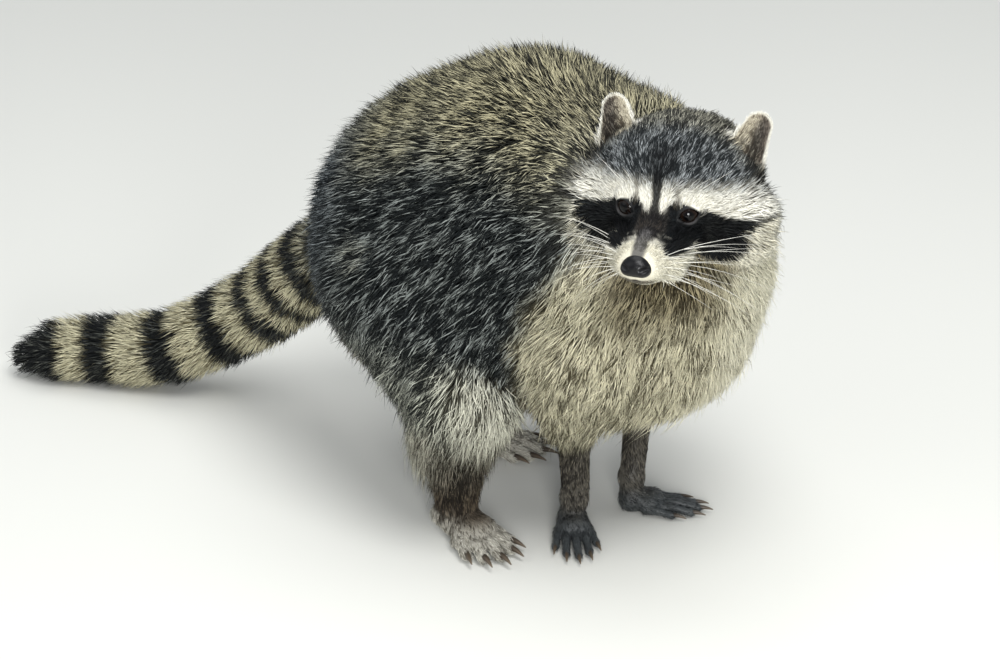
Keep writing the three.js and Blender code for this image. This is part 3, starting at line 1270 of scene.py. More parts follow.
CREAM = Hair((236, 232, 214), (196, 190, 168), 0.8, (150, 144, 124))
WHITE = Hair((246, 244, 234), (214, 210, 194), 0.85, (180, 175, 156))
BLACK = Hair((19, 24, 26), (8, 10, 12), 0.35, (6, 8, 9))
BROWN = Hair((100, 92, 76), (40, 36, 30), 0.4, (28, 25, 21))
GRIZZLE = Hair((158, 163, 164), (33, 38, 40), 0.44, (27, 30, 31))
NAPE = Hair((186, 182, 158), (46, 45, 39), 0.5, (34, 33, 29))
COLLAR = Hair((136, 136, 120), (30, 32, 29), 0.42, (22, 23, 21))
# Brown hair under the muzzle, darkened with painted shade for the shadow there.
SHADED_THROAT = Hair((156, 145, 112), (64, 57, 42), 0.55, (46, 41, 31))
BRIDGE = Hair((56, 51, 46), (22, 20, 20), 0.4, (16, 15, 15))
RIDGE = Hair((96, 94, 95), (48, 47, 48), 0.5, (38, 36, 36))
EAR_ROOT = Hair((84, 82, 76), (22, 24, 25), 0.3, (18, 18, 17))
EAR_BACK = Hair((120, 116, 104), (58, 55, 48), 0.45, (50, 46, 40))
EAR_DISH = Hair((136, 126, 112), (50, 45, 40), 0.36, (54, 47, 42))
EAR_TUFT = Hair((220, 212, 188), (104, 94, 78), 0.62, (84, 74, 64))
FLANK = Hair((154, 160, 156), (19, 24, 25), 0.39, (18, 20, 21))
SADDLE = Hair((206, 199, 164), (31, 32, 26), 0.52, (23, 24, 21))
RUMP = Hair((166, 174, 178), (31, 37, 40), 0.48, (25, 28, 30))
WITHERS = Hair((214, 206, 170), (42, 41, 33), 0.56, (30, 29, 25))
CHEST = Hair((225, 219, 190), (77, 71, 51), 0.64, (51, 47, 35))
# The chest's pale hair, made paler still for its lit side: painted light.
SUNLIT_CHEST = Hair((240, 236, 214), (116, 109, 86), 0.78, (78, 72, 56))
# Brown hair under the chin, darkened with painted shade for the head's shadow.
SHADED_CHIN = Hair((140, 127, 92), (56, 49, 34), 0.54, (38, 33, 24))
BELLY = Hair((190, 184, 160), (96, 88, 70), 0.6, (76, 68, 54))
THIGH = Hair((200, 202, 186), (34, 37, 34), 0.5, (30, 30, 27))
HEM = Hair((224, 223, 205), (64, 61, 49), 0.68, (50, 47, 38))
PALE_RING = Hair((222, 216, 184), (104, 97, 72), 0.68, (84, 77, 58))
DARK_RING = Hair((88, 90, 84), (20, 23, 24), 0.36, (15, 17, 18))
TAIL_ROOT = Hair((150, 152, 142), (28, 32, 33), 0.45, (24, 26, 26))
LIMBS = {
    Region.SHANK: Hair((98, 86, 70), (34, 29, 24), 0.42, (28, 24, 20)),
    Region.FOREARM: Hair((112, 106, 94), (38, 35, 31), 0.45, (32, 30, 27)),
    Region.FOOT: Hair((216, 213, 200), (82, 76, 64), 0.64, (56, 52, 45)),
    Region.HAND: Hair((98, 103, 104), (30, 33, 35), 0.42, (28, 31, 33)),
}
LIMB_TOPS = {  # from one height to another, in millimetres, the hair turns to this
    Region.FOREARM: (74, 96, Hair((150, 142, 118), (52, 48, 38), 0.5, (40, 37, 31))),
    Region.FOOT: (14, 27, Hair((120, 108, 90), (50, 43, 35), 0.5, (40, 35, 29))),
    Region.HAND: (14, 27, Hair((136, 132, 122), (48, 46, 42), 0.5, (38, 36, 34))),
}

Knots = tuple[tuple[float, float], ...]

# Edges of the face's markings: the distance from the face's middle, then the height, in the head's frame.
SNOUT_EDGE: Knots = ((0, -9), (9, -11), (15, -15), (21, -21), (40, -25))
CHEEK_EDGE: Knots = ((25, -42), (30, -45), (39, -45), (48, -43), (56, -40), (62, -32), (68, -12))
MASK_TOP: Knots = ((8, 3), (16, 8), (24, 5), (36, -2), (48, -6), (66, -9))
CROWN_EDGE: Knots = ((0, 19), (24, 18), (46, 14), (60, 10), (70, 5))

# The edge of the chest's pale hair: the height, then the place along the body.
CHEST_LOW: Knots = ((110, -30), (160, -34), (186, -38), (213, -46), (239, -60))
CHEST_EDGE: Knots = (*CHEST_LOW, (260, -78), (273, -90), (285, -96), (300, -104), (325, -125))


def along(value: Array, knots: Knots) -> Array:
    """The height of a line through knots."""
    return np.interp(value, *zip(*knots))


@dataclass(frozen=True)
class Markings:
    """Where the coat is pale, dark or grey, with painted shade under the muzzle, the nose and the chin, and
    painted light on the chest's lit side.
    """

    animal: Animal

    def head(self, near: Array) -> Tones:
        """The face, crown and ears, for points of the head, with painted shade under the muzzle and under the
        nose.

        Args:
            near: The points, in the head's own frame.

        Returns:
            Their tones.
        """
        x, y, z = near.T
        side = np.abs(x) + 0.5 * ripple(near, 9, 11)
        up = z + 0.7 * ripple(near, 7, 12)
        tones = Tones.even(len(near), GRIZZLE)
        tones.lay(ease(y, 36, 68) * 0.7, NAPE)
        snout = along(side, SNOUT_EDGE)
        low = up - snout - (along(side, CHEEK_EDGE) - snout) * ease(y, 1, 8)
        top = up - along(side, MASK_TOP)
        over = up - along(side, CROWN_EDGE)
        beside = np.maximum(ease(side, 69, 76) * ease(y, 30, 23), ease(-x, 71, 77))
        behind = np.maximum(ease(y, 44, 56), beside) * ease(over, 10, -2)
        tones.lay(ease(over, 6, -8), WHITE)
        tones.lay(ease(low, 1.5, -2.5), CREAM)
        tones.lay(behind * 0.9, COLLAR)
        # Painted shade: the underside of the muzzle and cheeks is laid dark brown, as if in shadow.
        tones.lay(ease(up, -40, -51) * ease(y, -4, 16) * ease(side, 62, 40), SHADED_THROAT)
        # Painted shade: the white chin under the nose is laid brown, as if in the nose's shadow.
        shaded_under_nose = ease(z, -33, -37) * ease(np.abs(x), 16, 9) * ease(y, -38, -46)
        tones.lay(shaded_under_nose * 0.85, BROWN)
        mask = ease(top, 1.6, -1.6) * ease(low, -1.8, 1.8) * ease(y, 56, 38) * ease(side, 7, 11)
        tones.lay(mask, BLACK)
        gap = ease(np.abs(side - 15), 2.6, 0.8) * ease(up, 24, 14) * ease(up, 0, 6)
        tones.lay(gap * 0.6, BROWN)
        stripe = ease(side, 4.4, 2.4) * ease(up, 34, 22) * ease(up, -9, 0)
        tones.lay(stripe * 0.95, BLACK)
        tones.lay(ease(side, 17, 5) * ease(up, 20, 27) * ease(y, 34, 16) * 0.7, BLACK)
        tones.lay(ease(side, 13, 9) * ease(up, 4, -1) * ease(low, -1.5, 1.5), BRIDGE)
        ridge = ease(side, 6.5, 3.5) * ease(up, -27, -20) * ease(low, 4, 0)
        tones.lay(ridge * 0.9, RIDGE)
        for ear in self.animal.head.ears:
            self.mark_ear(tones, ear, ear.placement.inward(near))
        return tones

    def mark_ear(self, tones: Tones, ear: Ear, leaf: Array) -> None:
        """Lays an ear's hair over the head's.

        Args:
            tones: The head's tones.
            ear: The ear.
            leaf: The same points, in the ear's own frame.
        """
        apart = ear.leaf(leaf, 1, 0)
        base = ease(apart, 8, 2) * ease(leaf[:, 2], -22, -12)
        tones.lay(base * ease(leaf[:, 2], 10, -4), EAR_ROOT)
        on_ear = ease(apart, 3.5, 1.5) * ease(leaf[:, 2], 2, 7)
        back = ease(leaf[:, 1], -0.5, 1.5)
        tones.lay(on_ear * back, EAR_BACK)
        inner = ease(leaf[:, 0] * ear.side.value, 4, -5)
        tones.lay(on_ear * (1 - back), EAR_DISH)
        tones.lay(on_ear * (1 - back) * inner, EAR_TUFT)
        tones.lay(on_ear * self.rim(ear, leaf) * ease(leaf[:, 2], 2, 9), WHITE)

    @staticmethod
    def rim(ear: Ear, leaf: Array) -> Array:
        """How close each point of an ear is to its edge, from 0 to 1."""
        outline = Limb(((0, 0, -6, ear.radii[0]), (0, 0, ear.height, ear.radii[1])))
        return ease(outline(leaf * (1, 0, 1)), -3.0, -1.4)

    def body(self, points: Array, normals: Array) -> Tones:
        """The back, flanks, chest and legs, with painted light on the chest's lit side and painted shade
        under the chin.

        Args:
            points: Points of the body.
            normals: The skin's normals there.

        Returns:
            Their tones.
        """
        x, y, z = points.T
        wave = 6 * ripple(points, 60, 21) + 3 * ripple(points, 24, 22)
        tones = Tones.even(len(points), FLANK)
        up = ease(normals[:, 2] + 0.007 * wave, 0.36, 0.84)
        tones.lay(up, SADDLE)
        rump = ease(y, 110, 165) * (1 - 0.6 * up)
        tones.lay(rump * 0.8, RUMP)
        withers = ease(y, -20, -70) * ease(z, 305, 330) * ease(np.abs(x), 96, 60)
        tones.lay(withers * 0.6, WITHERS)
        edge = along(z, CHEST_EDGE) - 24 * ease(normals[:, 0], 0.6, 0.9)
        chest = ease(y + 0.9 * wave, edge + 10, edge - 12)
        tones.lay(chest, CHEST)
        # Painted light: the chest's lit side, towards +x, is laid paler.
        tones.lay(chest * ease(x, -50, 5) * 0.9, SUNLIT_CHEST)
        near = self.animal.head.placement.inward(points)
        # Painted shade: the breast under the chin is laid darker brown, as if in the head's shadow.
        under_chin_shade = ease(np.abs(near[:, 0]), 54, 22) * ease(near[:, 2], -125, -70) * ease(near[:, 1], 70, 30)
        tones.lay(under_chin_shade * 0.85, SHADED_CHIN)
        tones.lay(ease(normals[:, 2], -0.3, -0.75) * ease(y, -60, -30), BELLY)
        return tones

    def thigh(self, points: Array, normals: Array) -> Tones:
        """The thighs, which run paler to their hems.

        Args:
            points: Points of the body.
            normals: The skin's normals there.

        Returns:
            Their tones.
        """
        z = points[:, 2] + 8 * ripple(points, 40, 23)
        tones = self.body(points, normals)
        tones.lay(ease(z, 190, 120), THIGH)
        front = ease(points[:, 1], 24, -14) * ease(z, 176, 146)
        tones.lay(np.maximum(front, ease(z, 118, 84)), HEM)
        return tones

    def tail(self, points: Array) -> Tones:
        """The ringed tail."""
        tones = Tones.even(len(points), PALE_RING)
        tones.lay(self.animal.tail.darkness(points), DARK_RING)
        tones.lay(ease(self.animal.tail.share(points), 0.12, 0.03), TAIL_ROOT)
        return tones

    @staticmethod
    def limb(region: Region, points: Array) -> Tones:
        """The short hair of the lower legs, hands and feet.

        Args:
            region: The stretch of coat.
            points: Points of the body.

        Returns:
            Their tones.
        """
        tones = Tones.even(len(points), LIMBS[region])
        if region in LIMB_TOPS:
            low, high, hair = LIMB_TOPS[region]
            tones.lay(ease(points[:, 2], low, high), hair)
        return tones

    def of_region(self, region: Region, points: Array, normals: Array) -> Tones:
        """The tones of one stretch of coat.

        Args:
            region: The stretch of coat.
            points: Points of the body.
            normals: The skin's normals there.

        Returns:
            Their tones.
        """
        if region in (Region.HEAD, Region.EAR):
            return self.head(self.animal.head.placement.inward(points))
        if region is Region.THIGH:
            return self.thigh(points, normals)
        if region is Region.TAIL:
            return self.tail(points)
        if region in LIMBS:
            return self.limb(region, points)
        return self.body(points, normals)

    def at(self, points: Array, normals: Array, shares: Array) -> Tones:
        """The tones of the whole coat.

        Args:
            points: Where they are wanted, in the body's frame.
            normals: Which way the skin faces there.
            shares: How much each form has to say there.

        Returns:
            Their tones.
        """
        total = Tones.none(len(points))
        regions = [form.region for form in self.animal.forms]
        for region in dict.fromkeys(regions):
            weight = shares[:, [r is region for r in regions]].sum(1)
            near = weight > 0.004
            if near.any():
                total.add(near, self.of_region(region, points[near], normals[near]), weight[near])
        total.share += 0.1 * ripple(points, 15, 44)
        return total


# ---------------- the coat


@dataclass(frozen=True)
class Pelt:
    """How the hair of a region grows, in millimetres and degrees from the skin.

    Attributes:
        spacing: The distance between tufts.
        length: From root to tip.
        width: At the middle.
        stand: How far the root stands up.
        settle: How far the tip still does.
        gather: How much a tuft leans to its lock's middle.
        cell: The distance between locks.
        depth: How far the coat's surface is from the skin.
    """

    spacing: float
    length: float
    width: float
    stand: float
    settle: float
    gather: float
    cell: float
    depth: float

    @property
    def row(self) -> tuple[float, ...]:
        """The numbers in their order."""
        return astuple(self)


PELTS = {
    Region.TRUNK: Pelt(1.68, 22, 1.15, 62, 36, 0.3, 6, 19),
    Region.NECK: Pelt(1.5, 30, 1.0, 54, 24, 0.45, 10, 17),
    Region.THIGH: Pelt(1.6, 34, 0.95, 50, 16, 0.5, 10, 19),
    Region.UPPER_FORELEG: Pelt(1.55, 34, 1.0, 46, 14, 0.5, 11, 16),
    Region.TAIL: Pelt(1.7, 22, 1.0, 48, 24, 0.25, 6, 13),
    Region.HEAD: Pelt(1.1, 10, 0.75, 30, 10, 0.25, 5, 5),
    Region.EAR: Pelt(1.0, 2.6, 0.38, 20, 7, 0.1, 3, 1.1),
    Region.SHANK: Pelt(1.6, 12, 0.7, 24, 7, 0.3, 5, 4),
    Region.FOREARM: Pelt(1.6, 7.5, 0.6, 16, 5, 0.3, 5, 2.2),
    Region.FOOT: Pelt(1.6, 6, 0.5, 13, 4, 0.3, 4, 1.3),
    Region.HAND: Pelt(1.8, 4.2, 0.4, 11, 3, 0.1, 3, 0.8),
}
SPACING, LENGTH, WIDTH, STAND, DEPTH = 0, 1, 2, 3, 7  # where these are in a pelt's row

# The head's own pelt, and what is added to others in places.
HEAD_START = Pelt(0.78, 1.5, 0.36, 15, 4, 0.1, 3, 0.6)  # the head's, where its coat has no length
HEAD_RISE = Pelt(0.04, 1.1, 0.032, 1.6, 0.8, 0.015, 0.4, 0.5)  # more, for each millimetre of the coat
WHISKER_PAD = Pelt(-0.22, 15, 0.3, 27, 15, 0.15, 0, 8)  # the sides of the muzzle
BREAST = Pelt(-0.12, 15, -0.22, -12, -18, 0.35, 8, 0)  # the front of the trunk
FRINGE = Pelt(0, 14, -0.2, 0, 0, 0, 0, 0)  # the thighs' lower edge


@dataclass(frozen=True)
class Growth:
    """How the tufts vary by chance and bend, over what the pelt says.

    Attributes:
        sunk: How deep a root lies in the skin, in millimetres.
        lengths: The least share of the length, and how much more there may be.
        lock_lengths: The same, for a whole lock.
        widths: The same, for the width.
        lifts: The same, for the root's stand.
        strays: The share of tufts that stray.
        stray_length: How long these are against the rest.
        stray_width: How wide these are against the rest.
        bends: For each half, the root's and the tip's say in how it stands, the pull to the lock's
            middle, and its share of the length.
        rings: Each ring's share of the width.
    """

    sunk: float = 0.6
    lengths: tuple[float, float] = (0.84, 0.28)
    lock_lengths: tuple[float, float] = (0.88, 0.24)
    widths: tuple[float, float] = (0.8, 0.4)
    lifts: tuple[float, float] = (0.8, 0.4)
    strays: float = 0.07
    stray_length: float = 1.25
    stray_width: float = 0.7
    bends: tuple[tuple[float, float, float, float], ...] = ((0.75, 0.25, 0.3, 0.58), (0.2, 0.8, 0.7, 0.42))
    rings: tuple[float, float] = (1.0, 0.86)


@dataclass
class Roots:
    """Where tufts stand and what each one is like: one row per tuft, in the body's frame."""

    place: Array
    normal: Array
    flow: Array
    shares: Array
    pelt: Array

    def __len__(self) -> int:
        """How many tufts there are."""
        return len(self.place)

    def only(self, chosen: Array) -> Roots:
        """The tufts that are chosen."""
        return Roots(*(rows[chosen] for rows in (self.place, self.normal, self.flow, self.shares, self.pelt)))


@dataclass
class Strands:
    """The tufts' roots, middles and tips, the way across each, its width and its lock's number."""

    lines: list[Array]
    across: Array
    width: Array
    token: Array


def varied(shares: tuple[float, float], chance: Array) -> Array:
    """A least share, and as much of what may come on top as chance gives."""
    return shares[0] + shares[1] * chance


def tuft() -> tuple[Array, Array]:
    """A tuft's ten triangles by its seven points, and where in its patch each of their corners is.

    Returns:
        The triangles, and three places for each from the patch's middle.
    """
    faces, patch = [(0, 2, 1)], [((0.3, -0.1), (0.5, -0.3), (0.7, -0.1))]
    for side in range(3):
        after = (side + 1) % 3
        left, right = side / 3, (side + 1) / 3
        faces += [(side, after, after + 3), (side, after + 3, side + 3), (side + 3, after + 3, 6)]
        patch += [((left, 0), (right, 0), (right, 0.5)), ((left, 0), (right, 0.5), (left, 0.5))]
        patch += [((left, 0.5), (right, 0.5), ((left + right) / 2, 1))]
    return np.array(faces), np.array(patch) - 0.5


@dataclass
class Coat:
    """All the hair of the animal, grown from a mesh of its skin."""

    animal: Animal
    markings: Markings
    growth: Growth = Growth()
    seed: int = 7

    def pelt(self, points: Array, shares: Array) -> Array:
        """The pelt's numbers at each point, in rows.

        Args:
            points: Points of the body.
            shares: Each form's say there.

        Returns:
            The rows.
        """
        out = shares @ np.array([PELTS[form.region].row for form in self.animal.forms])
        trunk = self.animal.say(shares, Region.TRUNK)
        under = trunk * ease(points[:, 2], 175, 120)
        out[:, SPACING] *= 1 + 0.5 * under
        out[:, WIDTH] *= 1 + 0.4 * under
        out += np.outer(self.animal.say(shares, Region.THIGH) * ease(points[:, 2], 135, 95), FRINGE.row)
        out += np.outer(trunk * ease(points[:, 1], -40, -90), BREAST.row)
        head = self.animal.say(shares, Region.HEAD)
        near = head > 0.02
        own = self.head_pelt(self.animal.head.placement.inward(points[near]))
        out[near] += head[near][:, None] * (own - PELTS[Region.HEAD].row)
        return out

    @staticmethod
    def head_pelt(near: Array) -> Array:
        """The head's own numbers, in rows.

        Args:
            near: Points of the head.

        Returns:
            The rows.
        """
        x, y, z = near.T
        own = HEAD_START.row + np.outer(Head.coat(near), HEAD_RISE.row)
        pad = ease(np.abs(x), 9, 17) * ease(y, 8, -4) * ease(y, -44, -32) * ease(z, -12, -20)
        own += np.outer(pad, WHISKER_PAD.row)
        corner = ease(np.abs(x), 64, 74) * np.maximum(ease(y, 34, 24), ease(np.abs(z + 6), 30, 20))
        own[:, LENGTH] *= 1 - 0.5 * corner
        own[:, STAND] -= 6 * corner
        own[:, DEPTH] *= 1 - 0.5 * corner
        return own

    def bare(self, points: Array, normals: Array) -> Array:
        """Which points carry no hair: soles, eyes, nose and lips.

        Args:
            points: Points of the body.
            normals: The skin's normals there.

        Returns:
            Whether each is bare.
        """
        sole = (points[:, 2] < 3) & (normals[:, 2] < -0.4)
        head = self.animal.head
        near = head.placement.inward(points)
        out = sole | (Ellipsoid(head.nose, (11.5, 10.5, 9.8))(near) < 0.4) | (head.groove()(near) < 0.9)
        for eye in head.eyes:
            local = eye.placement.inward(near)
            close = np.linalg.norm(local, axis=1) < eye.radius + 6
            out |= close & (local[:, 1] < 2) & (eye.parting(local) < 1.3)
        return out

    def roots(self, skin: Surface) -> Roots:
        """Where the tufts stand on a mesh of the skin.

        Args:
            skin: The mesh.

        Returns:
            The roots.
        """
        draw = np.random.default_rng(self.seed)
        corners = skin.points[skin.triangles]
        cross = np.cross(corners[:, 1] - corners[:, 0], corners[:, 2] - corners[:, 0])
        area = np.linalg.norm(cross, axis=1) / 2
        middle = corners.mean(1)
        spacing = self.pelt(middle, self.animal.shares(middle))[:, SPACING]
        wanted = np.cumsum(area / spacing**2)
        picks = np.arange(int(wanted[-1])) + draw.uniform(0, 1, int(wanted[-1]))
        face = np.minimum(np.searchsorted(wanted, picks), len(area) - 1)
        first, second = np.sqrt(draw.uniform(0, 1, len(face))), draw.uniform(0, 1, len(face))
        shape = np.stack([1 - first, first * (1 - second), first * second], 1)
        place = (corners[face] * shape[:, :, None]).sum(1)
        normal = unit(slope(self.animal.skin, place, 0.8))
        kept = ~self.bare(place, normal)
        place, normal = place[kept], normal[kept]
        shares = self.animal.shares(place)
        flow = sum(shares[:, i : i + 1] * form.lie(place) for i, form in enumerate(self.animal.forms))
        flow = along_skin(flow, normal)
        return Roots(place, normal, flow, shares, self.pelt(place, shares))

    def grow(self, roots: Roots) -> tuple[Surface, Array, Array]:
        """The tufts as a mesh.

        Args:
            roots: Where they stand and what they are like.

        Returns:
            The mesh, a colour for each of its points, and where in its tuft's patch each corner of a face is.
        """
        draw = np.random.default_rng(self.seed + len(roots))
        strands = self.strands(roots, draw)
        rings = []
        for line, share in zip(strands.lines, self.growth.rings):
            half = (strands.width * share * 0.5)[:, None]
            aside = strands.across * half
            rings += [line - aside, line + aside, line + roots.normal * half * 0.8]
        points = np.stack([*rings, strands.lines[-1]], 1)
        points[:, :, 2] = np.maximum(points[:, :, 2], 0.3)
        faces, patch = tuft()
        every = (faces[None] + points.shape[1] * np.arange(len(roots))[:, None, None]).reshape(-1, 3)
        return Surface(points.reshape(-1, 3), every), self.colours(roots, strands, draw), patch

    def strands(self, roots: Roots, draw: np.random.Generator) -> Strands:
        """The line of each tuft.

        Args:
            roots: Where they stand and what they are like.
            draw: What chance is drawn from.

        Returns:
            The strands.
        """
        grow, count = self.growth, len(roots)
        _, length, width, stand, settle, gather, cell, depth = roots.pelt.T
        middle, token = self.gathered(roots.place, cell)
        length = length * varied(grow.lengths, draw.random(count)) * varied(grow.lock_lengths, token)
        stray = draw.random(count) < grow.strays
        length = length * np.where(stray, grow.stray_length, 1)
        width = width * np.where(stray, grow.stray_width, 1) * varied(grow.widths, draw.random(count))
        turn = 30 * ((token * 7.13) % 1 - 0.5)
        swing = (4 + 0.13 * stand) * draw.normal(size=count) + turn + 8 * ripple(roots.place, 50, 31)
        swing = np.radians(swing)
        across = np.cross(roots.flow, roots.normal)
        flow = roots.flow * np.cos(swing)[:, None] + across * np.sin(swing)[:, None]
        across = np.cross(flow, roots.normal)
        lean = middle - roots.place
        lean = (lean - roots.normal * (lean * roots.normal).sum(1, keepdims=True)) * gather[:, None]
        lift = np.radians(stand * varied(grow.lifts, draw.random(count)))
        fall = np.radians(settle + 10 * draw.normal(size=count) * (stand / 48))
        curl = np.radians(0.3 * stand * draw.normal(size=count))
        lines = [roots.place - roots.normal * grow.sunk]
        for root, tip, pull, reach in grow.bends:
            angle = lift * root + fall * tip
            swept = flow * np.cos(curl * pull)[:, None] + across * np.sin(curl * pull)[:, None]
            way = swept * np.cos(angle)[:, None] + roots.normal * np.sin(angle)[:, None]
            end = lines[-1] + way * (length * reach)[:, None] + lean * pull
            lines.append(self.combed(end, depth * (0.6 + 0.6 * pull) + 1 + stray * (1 + 0.25 * depth)))
        return Strands(lines, across, width, token)

    def gathered(self, places: Array, cell: Array) -> tuple[Array, Array]:
        """The lock of each root, larger where the pelt asks for much more than is usual.

        Args:
            places: Where the roots are.
            cell: What the pelt says there.

        Returns:
            The middle of each root's lock, and the number that all of the lock shares.
        """
        size = float(np.median(cell))
        middle, token = locks(places, size, self.seed)
        wide = cell > 1.35 * size
        middle[wide], token[wide] = locks(places[wide], 2.1 * size, self.seed)
        return middle, token

    def combed(self, points: Array, limit: Array) -> Array:
        """The points, laid down where they stand too far off the skin and lifted where they dip into it.

        Args:
            points: Points of the body.
            limit: How far off the skin each may be.

        Returns:
            The points, moved.
        """
        off = self.animal.skin(points)
        move = np.where(off > limit + 0.2, -0.85 * np.minimum(off - limit, 25), np.clip(0.45 - off, 0, 7))
        moved = move != 0
        out = points.copy()
        out[moved] += unit(slope(self.animal.skin, points[moved], 0.5)) * move[moved][:, None]
        return out

    def colours(self, roots: Roots, strands: Strands, draw: np.random.Generator) -> Array:
        """A colour for each point of each tuft, in rows.

        Args:
            roots: Where the tufts stand.
            strands: The tufts before they are meshes.
            draw: What chance is drawn from.

        Returns:
            The colours, seven for each tuft.
        """
        seen = strands.lines[0] * 0.34 + strands.lines[-1] * 0.66
        tones = self.markings.at(seen, roots.normal, roots.shares)
        _, fleck = locks(roots.place, 3.6, self.seed + 1)
        chance = 0.45 * draw.random(len(roots)) + 0.4 * fleck + 0.15 * strands.token
        pale = ease(chance, tones.share + 0.06, tones.share - 0.06)[:, None]
        vary = (0.84 + 0.32 * draw.random(len(roots)))[:, None]
        shade = (tones.dark * (1 - pale) + tones.pale * pale) * vary
        root = tones.under * 0.85 + shade * 0.15
        banded = (ease(tones.share, 0.66, 0.56) * (draw.random(len(roots)) < 0.8))[:, None]
        middle = shade * (0.8 + 0.25 * banded) + tones.under * 0.2 * (1 - banded)
        tip = shade * (1 - banded) + tones.dark * banded
        return np.repeat(np.stack([root, middle, tip], 1), (3, 3, 1), axis=1).reshape(-1, 3)


class Spread(Enum):
    """A way of unwrapping the skin."""

    CAP = "about a pole"
    TUBE = "about an axis"


@dataclass(frozen=True)
class Tile:
    """One part of an unwrap: the stretch of coat it holds and how that is laid flat."""

    holds: str
    pole: Triple
    spread: Spread = Spread.CAP
    line: Limb | None = None

    def flat(self, points: Array) -> Array:
        """Each point's place in the tile, in the tile's own measure.

        Args:
            points: Points of the body.

        Returns:
            Two numbers for each point.
        """
        pole = unit(np.array(self.pole, float))
        aside = unit(np.cross(pole, (0.31, 0.87, 0.39)))
        other = np.cross(pole, aside)
        if self.line is not None:
            run, _, off = self.line.along(points)
            return np.stack([np.arctan2(off @ other, off @ aside), run], 1)
        off = points - (points.min(0) + points.max(0)) / 2
        turn = np.arctan2(off @ other, off @ aside)
        if self.spread is Spread.TUBE:
            return np.stack([turn, off @ pole], 1)
        angle = np.arccos(np.clip(unit(off) @ pole, -1, 1))
        return np.stack([angle * np.cos(turn), angle * np.sin(turn)], 1)


@dataclass(frozen=True)
class Piece:
    """One piece of the coat: its name, its slot in the record and the tiles of its unwrap."""

    name: str
    slot: str
    tiles: tuple[Tile, ...]

    def unwrap(self, points: Array, labels: Array) -> Array:
        """Each tuft's place on the unwrap, from 0 to 1.

        Args:
            points: Where the tufts stand.
            labels: The stretch of coat that each belongs to.

        Returns:
            Two numbers for each tuft.
        """
        out = np.full((len(points), 2), 0.5)
        across = math.ceil(math.sqrt(len(self.tiles)))
        down = math.ceil(len(self.tiles) / across)
        for i, tile in enumerate(self.tiles):
            held = labels == tile.holds
            if not held.any():
                continue
            flat = tile.flat(points[held])
            low, high = flat.min(0), flat.max(0)
            flat = 0.015 + 0.97 * (flat - low) / np.maximum(high - low, 1e-6)
            out[held] = (flat + (i % across, i // across)) / (across, down)
        return out


def coat_pieces(animal: Animal) -> list[Piece]:
    """Every piece of the coat.

    Args:
        animal: The body.

    Returns:
        The pieces, in the order in which they are made.
    """

    def pairs(word: str, pole: Triple, spread: Spread = Spread.CAP) -> list[Tile]:
        """A tile for each side."""
        return [Tile(f"{word}_{side.word}", mirrored(pole, side.value), spread) for side in Side]

    up = (0.0, 0.0, 1.0)
    ahead = tuple(animal.head.placement.swung(np.array([[0.0, -1.0, 0.0]]))[0])
    found = [
        Piece("coat_face", "coat", (Tile("face", ahead),)),
        Piece("coat_crown", "coat", (Tile("crown", up),)),
        Piece("coat_neck", "coat", (Tile("neck", (-0.3, -1, 0.2)),)),
        Piece("coat_back_left", "coat", (Tile("back_left", up),)),
        Piece("coat_back_right", "coat", (Tile("back_right", up),)),
        Piece("coat_belly", "coat", (Tile("belly", (0, 0, -1)),)),
        Piece("coat_ears", "coat", tuple(pairs("ear", (0, -1, 0.1)))),
        Piece("coat_upper_forelegs", "coat", tuple(pairs("upper_foreleg", up, Spread.TUBE))),
        Piece("coat_tail", "tail_coat", (Tile("tail", (0, 0, 1), Spread.TUBE, animal.tail.limb()),)),
        Piece(
            "coat_legs",
            "leg_coat",
            (
                *pairs("shank", up, Spread.TUBE),
                *pairs("forearm", up, Spread.TUBE),
                *pairs("foot", up),
                *pairs("hand", up),
            ),
        ),
    ]
    for word in ("cheek", "flank", "thigh"):
        found += [Piece(f"coat_{tile.holds}", "coat", (tile,)) for tile in pairs(word, (1, 0, 0))]
    return found


def side_of(animal: Animal, form: Form) -> Side:
    """The side of the animal, or of its head, that a form lies on."""
    middle = (form.low + form.high)[None] / 2
    if form.region is Region.EAR:
        middle = animal.head.placement.inward(middle)
    return Side.LEFT if middle[0, 0] > 0 else Side.RIGHT


def labels_of(animal: Animal, roots: Roots) -> Array:
    """The stretch of coat that each tuft belongs to.

    Args:
        animal: The body.
        roots: Where the tufts stand.

    Returns:
        A word for each tuft.
    """
    near = animal.head.placement.inward(roots.place)
    ahead = near[:, 1] < 14
    crown = (near[:, 2] > 9) & (np.abs(near[:, 0]) < 52)
    cheeks = np.where(near[:, 0] > 0, "cheek_left", "cheek_right")
    up, left = roots.normal[:, 2], roots.place[:, 0] > 0
    backs = np.where(left, "back_left", "back_right")
    flanks = np.where(left, "flank_left", "flank_right")
    parted = {
        Region.HEAD: np.where(ahead, "face", np.where(crown, "crown", cheeks)),
        Region.TRUNK: np.where(up < -0.55, "belly", np.where(up > 0.5, backs, flanks)),
        Region.NECK: np.full(len(roots), "neck"),
        Region.TAIL: np.full(len(roots), "tail"),
    }
    out = np.empty(len(roots), dtype="<U24")
    top = roots.shares.argmax(1)
    for i, form in enumerate(animal.forms):
        mine = top == i
        if form.region in parted:
            out[mine] = parted[form.region][mine]
        else:
            out[mine] = f"{form.region.name.lower()}_{side_of(animal, form).word}"
    return out


# ---------------- finishes


